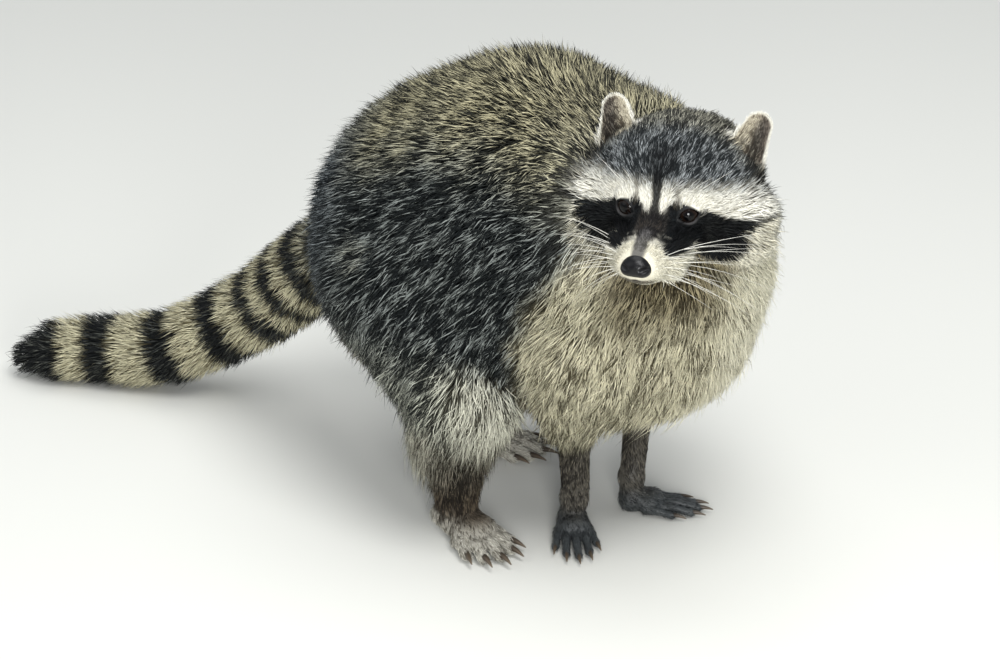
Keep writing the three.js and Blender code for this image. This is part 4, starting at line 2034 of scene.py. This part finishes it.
@dataclass(frozen=True)
class Wire:
    """A socket of a material's nodes, on which sums can be written."""

    tree: bpy.types.NodeTree
    socket: bpy.types.NodeSocket

    def math(self, operation: str, *values: Wire | float) -> Wire:
        """The outcome of a Math node that is given these values in turn.

        Args:
            operation: The node's operation.
            values: Its inputs.

        Returns:
            The outcome.
        """
        node = self.tree.nodes.new("ShaderNodeMath")
        node.operation = operation
        for place, value in zip(node.inputs, values):
            if isinstance(value, Wire):
                self.tree.links.new(value.socket, place)
            else:
                place.default_value = value
        return Wire(self.tree, node.outputs[0])

    def __add__(self, other: Wire | float) -> Wire:
        """The sum."""
        return self.math("ADD", self, other)

    def __sub__(self, other: Wire | float) -> Wire:
        """The difference."""
        return self.math("SUBTRACT", self, other)

    def __rsub__(self, other: float) -> Wire:
        """A number less this."""
        return self.math("SUBTRACT", other, self)

    def __mul__(self, other: Wire | float) -> Wire:
        """The product."""
        return self.math("MULTIPLY", self, other)

    __radd__ = __add__
    __rmul__ = __mul__


@dataclass(frozen=True)
class Finish:
    """A finish that takes its colour from the mesh's own tones.

    Attributes:
        name: The material's name.
        roughness: How rough it is.
        grain: How deep its fine relief is, in millimetres.
        grain_size: How wide the relief is, in millimetres.
        mottle: How much its colour varies.
        specular: How much it shines.
        mixed: Whether its roughness comes with the tones instead.
    """

    name: str
    roughness: float
    grain: float = 0.0
    grain_size: float = 1.0
    mottle: float = 0.0
    specular: float = 0.5
    mixed: bool = False

    @staticmethod
    def node(
        tree: bpy.types.NodeTree, kind: str, settings: dict[str, object] | None = None, **sockets: object
    ) -> bpy.types.Node:
        """A node of any kind but Math.

        Args:
            tree: The material's nodes.
            kind: The node's type.
            settings: What to set on the node itself.
            sockets: A value or a Wire for each input, by its name with _ for a space.

        Returns:
            The node.
        """
        made = tree.nodes.new(kind)
        for key, value in (settings or {}).items():
            setattr(made, key, value)
        for key, value in sockets.items():
            place = made.inputs[key.replace("_", " ")]
            if isinstance(value, Wire):
                tree.links.new(value.socket, place)
            else:
                place.default_value = value
        return made

    def noise(self, place: Wire, detail: float) -> Wire:
        """A fine noise over the object, from 0 to 1."""
        scale = 900.0 / self.grain_size
        made = self.node(place.tree, "ShaderNodeTexNoise", Vector=place, Scale=scale, Detail=detail)
        return Wire(place.tree, made.outputs["Fac"])

    def mottled(self, colour: Wire, share: Wire) -> Wire:
        """A colour made darker or paler by a share.

        Args:
            colour: The colour.
            share: How much of it is left.

        Returns:
            The other colour.
        """
        grey = self.node(colour.tree, "ShaderNodeCombineColor", Red=share, Green=share, Blue=share)
        mixed = self.node(colour.tree, "ShaderNodeMix", {"data_type": "RGBA", "blend_type": "MULTIPLY"})
        mixed.inputs[0].default_value = 1.0
        colour.tree.links.new(colour.socket, mixed.inputs[6])
        colour.tree.links.new(grey.outputs[0], mixed.inputs[7])
        return Wire(colour.tree, mixed.outputs[2])

    def material(self) -> bpy.types.Material:
        """The finish as a material.

        Returns:
            The material, which all pieces of the finish share.
        """
        found = bpy.data.materials.get(self.name)
        if found:
            return found
        made = bpy.data.materials.new(self.name)
        made.use_nodes = True
        tree = made.node_tree
        tree.nodes.clear()
        tone = self.node(tree, "ShaderNodeAttribute", {"attribute_name": TONE})
        colour = Wire(tree, tone.outputs["Color"])
        place = Wire(tree, self.node(tree, "ShaderNodeTexCoord").outputs["Object"])
        shader = self.node(tree, "ShaderNodeBsdfPrincipled", Roughness=self.roughness)
        shader.inputs["Specular IOR Level"].default_value = self.specular
        if self.mixed:
            tree.links.new(tone.outputs["Alpha"], shader.inputs["Roughness"])
        if self.mottle:
            colour = self.mottled(colour, self.noise(place, 2.0) * (2 * self.mottle) + (1 - self.mottle))
        tree.links.new(colour.socket, shader.inputs["Base Color"])
        if self.grain:
            height, deep = self.noise(place, 3.0), self.grain / 1000
            bump = self.node(tree, "ShaderNodeBump", Height=height, Distance=deep, Strength=1.0)
            tree.links.new(bump.outputs[0], shader.inputs["Normal"])
        out = tree.nodes.new("ShaderNodeOutputMaterial")
        tree.links.new(shader.outputs[0], out.inputs[0])
        return made


FUR = Finish("coat_hair", 0.62, specular=0.18)
SHORT_FUR = Finish("skin_hair", 0.7, grain=0.4, grain_size=1.1, mottle=0.2, specular=0.35, mixed=True)
GLOBE = Finish("eye_globe", 0.05, specular=0.2)
LEATHER = Finish("nose_leather", 0.28, grain=0.14, grain_size=0.8, specular=0.28)
HORN = Finish("claw_horn", 0.42, mottle=0.2, grain_size=3.0, specular=0.4)
BRISTLE = Finish("whisker", 0.4)
PAPER = Finish("floor_paper", 0.9)


# ---------------- the studio's workbench


@dataclass
class Bench:
    """Turns meshes in the body's millimetres into objects of the frame."""

    shift: Array

    def place(self, points: Array) -> Array:
        """Points of the body in the frame, in metres."""
        return (points + self.shift) / 1000

    def make(
        self,
        name: str,
        surface: Surface,
        colours: Array,
        finish: Finish,
        patches: Array | None = None,
        smooth: bool = True,
    ) -> bpy.types.Object:
        """An object from a mesh.

        Args:
            name: The object's name.
            surface: The mesh, in the body's millimetres.
            colours: A colour for each point.
            finish: Its finish.
            patches: Each face corner's place on the bake's unwrap, if it has one.
            smooth: Whether its faces are shaded as one.

        Returns:
            The object, in the scene.
        """
        mesh = bpy.data.meshes.new(name)
        sides = surface.faces.shape[1]
        mesh.vertices.add(len(surface.points))
        mesh.vertices.foreach_set("co", self.place(surface.points).astype(np.float32).ravel())
        mesh.loops.add(surface.faces.size)
        mesh.loops.foreach_set("vertex_index", surface.faces.astype(np.int32).ravel())
        mesh.polygons.add(len(surface.faces))
        mesh.polygons.foreach_set("loop_start", np.arange(0, surface.faces.size, sides, dtype=np.int32))
        mesh.polygons.foreach_set("use_smooth", np.full(len(surface.faces), smooth))
        if patches is not None:
            layer = mesh.uv_layers.new(name="OFBake")
            layer.uv.foreach_set("vector", patches.astype(np.float32).ravel())
        mesh.update(calc_edges=True)
        self.tint(mesh, colours)
        mesh.materials.append(finish.material())
        made = bpy.data.objects.new(name, mesh)
        bpy.context.scene.collection.objects.link(made)
        return made

    @staticmethod
    def tint(mesh: bpy.types.Mesh, colours: Array) -> None:
        """Gives each point of a mesh its tone, with its roughness last where the finish reads it."""
        layer = mesh.color_attributes.new(TONE, "FLOAT_COLOR", "POINT")
        rows = np.ones((len(colours), 4))
        rows[:, : colours.shape[1]] = colours
        layer.data.foreach_set("color", rows.astype(np.float32).ravel())

    def read(self, made: bpy.types.Object) -> Surface:
        """An object's mesh as triangles, in the body's millimetres.

        Args:
            made: The object.

        Returns:
            Its mesh.
        """
        mesh = made.data
        points = np.empty(len(mesh.vertices) * 3, np.float32)
        mesh.vertices.foreach_get("co", points)
        mesh.calc_loop_triangles()
        faces = np.empty(len(mesh.loop_triangles) * 3, np.int32)
        mesh.loop_triangles.foreach_get("vertices", faces)
        return Surface(points.reshape(-1, 3).astype(float) * 1000 - self.shift, faces.reshape(-1, 3))


def spread_of(count: int, colour: Array) -> Array:
    """The same colour for each of count points."""
    return np.tile(colour, (count, 1))


SHORT_HAIRED = (Region.SHANK, Region.FOREARM, Region.FOOT, Region.HAND, Region.EAR, Region.HEAD)
LIP, LID, LOWER_LID = tint(40, 32, 28), tint(14, 13, 13), tint(78, 76, 76)


@dataclass
class Hide:
    """The skin: one closed mesh under the whole coat."""

    animal: Animal
    bench: Bench
    low: Triple = (-150, -215, -6)
    high: Triple = (150, 500, 385)
    step: float = 3.0
    head_step: float = 1.1
    paw_step: float = 1.0
    sunk: float = 4.0

    def nooks(self) -> list[tuple[Nook, Field]]:
        """The boxes in which the skin is made finely, with the forms that each one shows.

        Returns:
            A field for each box.
        """
        head = Nook(self.animal.head.placement, (-86, -63, -62), (86, 94, 62), self.head_step)
        found = [(head, self.animal.skin)]
        for paw in self.animal.paws:
            ahead, aside = paw.kind.fine
            middle = paw.placement.outward(np.array([[0.0, -20.0, 20.0]]))[0]
            shown = (paw.kind.upper, paw.kind.region)
            forms = [form for form in self.animal.forms if form.region in shown and form.holds(middle, 30)]
            forms = [form for form in forms if (form.low[0] + form.high[0]) * paw.side.value > 0]
            nook = Nook(paw.placement, (-aside, -ahead, -2), (aside, 12, 33), self.paw_step)
            found.append((nook, lambda points, forms=forms: self.animal.joined(points, forms)))
        return found

    def build(self) -> bpy.types.Object:
        """The skin as one object.

        Returns:
            The skin, with no markings yet.
        """
        nooks = self.nooks()

        def sunken(points: Array) -> Array:
            """The skin, lower inside the nooks, whose own skin lies over it."""
            depth = np.stack([nook.depth(points) for nook, _ in nooks]).max(0)
            return self.animal.skin(points) + np.clip(depth / 8, 0, 1) * self.sunk

        whole = Lattice(self.low, self.high, self.step).net(sunken)
        grey = np.array([0.1, 0.1, 0.1])
        skin = self.bench.make("skin", whole, spread_of(len(whole.points), grey), SHORT_FUR)
        for number, (nook, field_of) in enumerate(nooks):
            shell = nook.shell(field_of)
            part = self.bench.make(f"shell_{number}", shell, spread_of(len(shell.points), grey), SHORT_FUR)
            skin = self.unite(skin, part)
        return skin

    @staticmethod
    def union(base: bpy.types.Object, part: bpy.types.Object, solver: str) -> bpy.types.Mesh:
        """Two objects as one mesh, by one of the solvers.

        Args:
            base: The first.
            part: The second.
            solver: The solver's name.

        Returns:
            The mesh.
        """
        cut = base.modifiers.new("join", "BOOLEAN")
        cut.operation, cut.solver, cut.object = "UNION", solver, part
        graph = bpy.context.evaluated_depsgraph_get()
        mesh = bpy.data.meshes.new_from_object(base.evaluated_get(graph))
        base.modifiers.remove(cut)
        return mesh

    def unite(self, base: bpy.types.Object, part: bpy.types.Object) -> bpy.types.Object:
        """Both objects as one closed mesh, by the slower solver if the quick one loses faces.

        Args:
            base: The first.
            part: The second.

        Returns:
            The first, with the second in it.
        """
        counts = len(base.data.polygons), len(part.data.polygons)
        mesh = self.union(base, part, "MANIFOLD")
        if len(mesh.polygons) < max(counts) * 0.6:
            mesh = self.union(base, part, "EXACT")
        LOG.info("joined %d and %d faces into %d", *counts, len(mesh.polygons))
        base.data = mesh
        bpy.data.objects.remove(part)
        return base

    def bared(self, colours: Array, near: Array) -> Array:
        """The colours with the lips and lids laid over them, for points of the head.

        Args:
            colours: A colour for each point.
            near: Points of the head.

        Returns:
            The colours.
        """
        head = self.animal.head
        colours = laid(colours, ease(head.groove()(near), 1.6, 0.6), LIP)
        for eye in head.eyes:
            local = eye.placement.inward(near)
            around = (np.linalg.norm(local, axis=1) < eye.radius + 5) & (local[:, 1] < 2)
            lid = ease(eye.parting(local), 1.6, 0.9) * around
            colours = laid(colours, lid, LID)
            lower = 0.28 * lid * ease(local[:, 2], -2.4, -4.2)
            lower = lower * ease(np.abs(local[:, 0] - eye.side.value), 6, 3)
            colours = laid(colours, lower, LOWER_LID)
        return colours

    def dress(self, skin: bpy.types.Object, markings: Markings) -> None:
        """Gives the skin its markings and lets it stand for the flesh.

        Args:
            skin: The skin.
            markings: The coat's markings.
        """
        surface = self.bench.read(skin)
        shares = self.animal.shares(surface.points)
        normals = unit(slope(self.animal.skin, surface.points, 0.8))
        tones = markings.at(surface.points, normals, shares)
        short = self.animal.say(shares, *SHORT_HAIRED)[:, None]
        mean = tones.pale * tones.share[:, None] + tones.dark * (1 - tones.share[:, None])
        colours = tones.under * (1 - 0.55 * short) + mean * 0.55 * short
        colours = self.bared(colours, self.animal.head.placement.inward(surface.points))
        rough = np.maximum(0.72 - 0.34 * self.animal.say(shares, Region.HAND), 0.3)
        for attribute in list(skin.data.color_attributes):
            skin.data.color_attributes.remove(attribute)
        self.bench.tint(skin.data, np.column_stack([colours, rough]))
        skin.data.polygons.foreach_set("use_smooth", np.full(len(skin.data.polygons), True))
        flesh = ["head", "neck", "trunk", "tail_root", "tail_middle", "tail_tip"]
        for side in Side:
            parts = ("ear", "thigh", "shank", "foot", "upper_foreleg", "forearm", "hand")
            flesh += [f"{part}_{side.word}" for part in parts]
        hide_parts(*flesh)
        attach(skin, ROOT)


def tube(line: Array, radii: Array, sides: int, up: Array) -> Surface:
    """A closed round rod of triangles along a line.

    Args:
        line: The middle of each ring.
        radii: The size of each.
        sides: How many sides the rod has.
        up: A way that is never along the line.

    Returns:
        The mesh.
    """
    heading = unit(np.gradient(line, axis=0))
    across = unit(np.cross(heading, up))
    over = np.cross(across, heading)
    turn = np.linspace(0, 2 * math.pi, sides, endpoint=False)
    rings = line[:, None] + radii[:, None, None] * (
        across[:, None] * np.cos(turn)[None, :, None] + over[:, None] * np.sin(turn)[None, :, None]
    )
    points = rings.reshape(-1, 3)
    faces = []
    for ring in range(len(line) - 1):
        for side in range(sides):
            a, b = ring * sides + side, ring * sides + (side + 1) % sides
            faces += [(a, b + sides, b), (a, a + sides, b + sides)]
    first, last = len(points), len(points) + 1
    points = np.concatenate([points, line[:1], line[-1:]])
    end = (len(line) - 1) * sides
    for side in range(sides):
        after = (side + 1) % sides
        faces += [(first, side, after), (last, end + after, end + side)]
    return Surface(points, np.array(faces)[:, ::-1])


def gathered(parts: Sequence[Surface]) -> Surface:
    """Several meshes as one.

    Args:
        parts: The meshes.

    Returns:
        The one mesh.
    """
    starts = np.cumsum([0, *(len(part.points) for part in parts[:-1])])
    return Surface(
        np.concatenate([part.points for part in parts]),
        np.concatenate([part.faces + start for part, start in zip(parts, starts)]),
    )


PUPIL, IRIS, EYE_RIM = tint(3, 3, 4), tint(24, 15, 10), tint(8, 7, 7)


@dataclass
class Globes:
    """Both eyes, with how far from their axis the pupil and the iris fade out."""

    animal: Animal
    bench: Bench
    pupil: tuple[float, float] = (3.2, 4.6)
    iris: tuple[float, float] = (5.4, 6.6)
    rings: int = 33
    sides: int = 48

    def build(self) -> None:
        """An eye on each side, with a dark pupil in a brown iris."""
        head = self.animal.head
        for eye in head.eyes:
            polar = np.linspace(0, math.pi, self.rings)
            line = np.stack([np.zeros(self.rings), -np.cos(polar), np.zeros(self.rings)], 1) * eye.radius
            ball = tube(line, np.sin(polar) * eye.radius * 0.9999 + 1e-4, self.sides, UP)
            off = np.linalg.norm(ball.points[:, (0, 2)], axis=1)
            ahead = ball.points[:, 1] < 0
            colours = laid(PUPIL, ease(off, *self.pupil), IRIS)
            colours = np.where(ahead[:, None], laid(colours, ease(off, *self.iris), EYE_RIM), EYE_RIM)
            placed = eye.placement.within(head.placement).outward(ball.points)
            made = self.bench.make(f"globe_{eye.side.word}", Surface(placed, ball.faces), colours, GLOBE)
            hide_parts(f"eye_{eye.side.word}")
            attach(made, ROOT)


@dataclass
class NosePad:
    """The bare pad of the nose, with its nostrils."""

    animal: Animal
    bench: Bench

    def field(self) -> Field:
        """The pad's signed distance in the head's frame.

        Returns:
            The field.
        """
        x, y, z = self.animal.head.nose
        pad = Ellipsoid((x, y + 0.5, z + 0.5), (10.2, 9.0, 8.2))
        wings = [Ellipsoid((side.value * 5.6, y - 2.0, z - 1.2), (5.4, 6.6, 5.0)) for side in Side]
        shape = blend(2.5, pad, *wings)
        for side in Side:
            v = side.value
            inner, middle = (v * 3.4, y - 10.5, z - 0.2, 1.5), (v * 6.6, y - 8.0, z + 1.2, 1.9)
            shape = hollowed(1.2, shape, Limb((inner, middle, (v * 10.4, y - 3.4, z + 1.6, 1.0))))
        furrow = Limb(((0, y - 9.6, z - 2, 0.7), (0, y - 8.6, z - 6, 0.9), (0, y - 5.5, z - 10, 0.9)))
        return hollowed(0.9, shape, furrow)

    def build(self) -> None:
        """The pad as one object."""
        x, y, z = self.animal.head.nose
        made = Lattice((x - 14, y - 14, z - 13), (x + 14, y + 12, z + 12), 0.5).net(self.field())
        placed = self.animal.head.placement.outward(made.points)
        colours = spread_of(len(placed), tint(6, 6, 8))
        pad = self.bench.make("nose_pad", Surface(placed, made.faces), colours, LEATHER)
        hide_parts("nose")
        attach(pad, ROOT)


CLAW_ROOT, CLAW_TIP = tint(44, 38, 33), tint(92, 80, 65)


@dataclass
class Claws:
    """The claws of one hand or foot."""

    paw: Paw
    bench: Bench
    rings: int = 9
    sides: int = 10

    def build(self) -> None:
        """Five curved claws as one object."""
        kind, side = self.paw.kind, self.paw.side
        length, radius = kind.claw
        parts = []
        for toe in kind.toes:
            _, _, tip, heading = self.paw.toe_line(toe)
            start = tip + heading * (kind.toe_radii[1] - 1) + (0, 0, kind.toe_radii[1] * 0.3)
            run = np.linspace(-0.25, 1, self.rings)
            ahead = np.clip(run, 0, 1)
            line = start + heading * (run * length)[:, None] - np.outer(ahead**2 * radius * 0.9, (0, 0, 1))
            made = tube(line, radius * (1 - 0.8 * ahead**1.3), self.sides, UP)
            parts.append(Surface(self.paw.placement.outward(made.points), made.faces))
        claws = gathered(parts)
        out = [np.repeat(np.linspace(0, 1, self.rings), self.sides), [0, 1]]
        colours = laid(CLAW_ROOT, np.tile(np.concatenate(out), len(parts)), CLAW_TIP)
        word = f"{kind.word}_{side.word}"
        made = self.bench.make(f"claws_{word}", claws, colours, HORN)
        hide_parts(*(f"claw_{word}_{number}" for number in range(1, 6)))
        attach(made, ROOT)


@dataclass
class Whiskers:
    """The long bristles of the muzzle, in rows, and of the brows."""

    animal: Animal
    bench: Bench
    rows: int = 4
    columns: int = 5
    brows: int = 3
    points: int = 7
    radius: float = 0.24
    tip: float = 0.22  # the tip's radius against the root's

    def lines(self) -> list[Array]:
        """Each whisker's line in the head's frame.

        Returns:
            The points of each.
        """
        draw = np.random.default_rng(41)
        outer = self.animal.head.outer()
        found = []
        for side in Side:
            for row, column in itertools.product(range(self.rows), range(self.columns)):
                seed = np.array([11.0 + 1.1 * column, -43.0 + 5.0 * column, -23.0 - 3.4 * row])
                seed = seed + draw.normal(size=3) * 0.6
                way = np.array([0.95, 0.28 + 0.06 * column, 0.34 - 0.26 * row]) + draw.normal(size=3) * 0.11
                found.append((side, seed, way, 30 + 9 * column + 16 * draw.random()))
            for number in range(self.brows):
                seed = np.array([16.0 + 4.0 * number, 4.0, 10.0]) + draw.normal(size=3) * 0.8
                way = np.array([0.4 + 0.2 * number, -0.1, 0.9]) + draw.normal(size=3) * 0.08
                found.append((side, seed, way, 26 + 14 * draw.random()))
        lines = []
        for side, seed, way, length in found:
            flip = np.array([side.value, 1, 1])
            start, way = seed * flip, unit(way * flip)
            normal = unit(slope(outer, start[None]))[0]
            start = start - normal * (outer(start[None])[0] + 4.5)
            share = np.linspace(0, 1, self.points)[:, None]
            bend = np.array([0, 0.2, -0.3 * draw.random() - 0.12]) * length * share**2
            lines.append(start + way * length * share + bend)
        return lines

    def build(self) -> None:
        """All whiskers as one object."""
        parts = []
        radii = self.radius * np.linspace(1, self.tip, self.points)
        for line in self.lines():
            made = tube(line, radii, 3, np.array([[0.1, 0.2, 1.0]]))
            parts.append(Surface(self.animal.head.placement.outward(made.points), made.faces))
        whiskers = gathered(parts)
        colours = spread_of(len(whiskers.points), tint(232, 230, 220))
        made = self.bench.make("whiskers", whiskers, colours, BRISTLE)
        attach(made, ROOT)


@dataclass(frozen=True)
class Lamp:
    """A round lamp that faces the animal: degrees round and up, metres away and across, and watts."""

    name: str
    azimuth: float
    elevation: float
    reach: float
    size: float
    power: float


@dataclass(frozen=True)
class Studio:
    """The floor, the light and the camera: degrees, metres, millimetres of lens and of the body."""

    azimuth: float = -55.0
    elevation: float = 25.0
    distance: float = 2.6
    lens: float = 124.5
    target: Triple = (-70.0, 0.0, 176.0)
    lamps: tuple[Lamp, ...] = (
        Lamp("key", -34.0, 62.0, 2.2, 1.2, 34.0),
        Lamp("fill", -120.0, 35.0, 2.4, 2.0, 8.0),
        Lamp("top", 120.0, 75.0, 2.2, 2.0, 19.0),
        Lamp("catch", -49.0, 13.0, 1.6, 0.5, 19.0),
    )
    sky: tuple[float, float, float, float] = (0.86, 0.9, 0.95, 1)
    sky_strength: float = 0.55
    half_floor: float = 9e3

    def away(self, azimuth: float, elevation: float) -> Vector:
        """The way from the target to a place round it."""
        a, e = math.radians(azimuth), math.radians(elevation)
        return Vector((math.sin(a) * math.cos(e), -math.cos(a) * math.cos(e), math.sin(e)))

    @staticmethod
    def aimed(name: str, thing: bpy.types.ID, aim: Vector, way: Vector, reach: float) -> bpy.types.Object:
        """An object for a camera or light, which faces the target from a distance.

        Args:
            name: The object's name.
            thing: The camera or light.
            aim: Where the target is, in the frame.
            way: The way from the target to the object.
            reach: How far away it is, in metres.

        Returns:
            The object, in the scene.
        """
        made = bpy.data.objects.new(name, thing)
        made.location = aim + way * reach
        made.rotation_euler = (-way).to_track_quat("-Z", "Y").to_euler()
        bpy.context.scene.collection.objects.link(made)
        return made

    def build(self, bench: Bench) -> None:
        """Everything that isn't the animal.

        Args:
            bench: Where meshes become objects.
        """
        scene = bpy.context.scene
        aim = Vector(bench.place(np.array(self.target)))
        lens = bpy.data.cameras.new("camera")
        lens.lens, lens.sensor_width = self.lens, 36.0
        scene.camera = self.aimed("camera", lens, aim, self.away(self.azimuth, self.elevation), self.distance)
        for lamp in self.lamps:
            light = bpy.data.lights.new(lamp.name, "AREA")
            light.shape, light.size, light.energy = "DISK", lamp.size, lamp.power
            self.aimed(lamp.name, light, aim, self.away(lamp.azimuth, lamp.elevation), lamp.reach)
        world = bpy.data.worlds.new("studio")
        world.use_nodes = True
        sky = world.node_tree.nodes["Background"].inputs
        sky["Color"].default_value, sky["Strength"].default_value = self.sky, self.sky_strength
        scene.world = world
        scene.view_settings.view_transform = "Standard"
        corners = np.array([(-1, -1, 0), (1, -1, 0), (1, 1, 0), (-1, 1, 0)]) * self.half_floor
        sheet = Surface(corners, np.array([[0, 1, 2, 3]]))
        floor = bench.make("floor", sheet, spread_of(4, tint(214, 214, 208)), PAPER, smooth=False)


def origin_of(head: Head) -> Array:
    """Where the body's origin lies in the frame, in millimetres, from where the eyes lie in both.

    Args:
        head: The head.

    Returns:
        The origin.
    """
    offs = []
    for eye in head.eyes:
        low, high = (np.array(corner) * 1000 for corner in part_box(f"eye_{eye.side.word}"))
        middle = head.placement.outward(np.array([eye.placement.place], float))[0]
        offs.append((low + high) / 2 - middle)
    return np.mean(offs, 0) * (1, 1, 0)


def main() -> None:
    """Builds the animal, its coat and the studio, in that order."""
    logging.basicConfig(level=logging.INFO, format="%(relativeCreated)7d %(message)s")
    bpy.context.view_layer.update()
    animal = Animal()
    shift = origin_of(animal.head)
    LOG.info("the body's origin is at %s", shift.round(3))
    bench = Bench(shift)
    markings = Markings(animal)
    hide = Hide(animal, bench)
    skin = hide.build()
    LOG.info("skin shape: %d faces", len(skin.data.polygons))
    hide.dress(skin, markings)
    LOG.info("skin dressed")
    coat = Coat(animal, markings)
    roots = coat.roots(bench.read(skin))
    labels = labels_of(animal, roots)
    LOG.info("%d tufts", len(roots))
    for piece in coat_pieces(animal):
        held = np.isin(labels, [tile.holds for tile in piece.tiles])
        if not held.any():
            LOG.warning("%s is empty", piece.name)
            continue
        chosen = roots.only(held)
        surface, colours, patch = coat.grow(chosen)
        middle = piece.unwrap(chosen.place, labels[held])
        patches = middle[:, None, None] + PATCH * patch
        made = bench.make(piece.name, surface, colours, FUR, patches.reshape(-1, 2))
        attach(made, ROOT)
        LOG.info("%s: %d tufts, %d triangles", piece.name, len(chosen), len(surface.faces))
    Globes(animal, bench).build()
    NosePad(animal, bench).build()
    for paw in animal.paws:
        Claws(paw, bench).build()
    Whiskers(animal, bench).build()
    LOG.info("eyes, nose, claws and whiskers")
    Studio().build(bench)


if __name__ == "__main__":
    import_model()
    main()
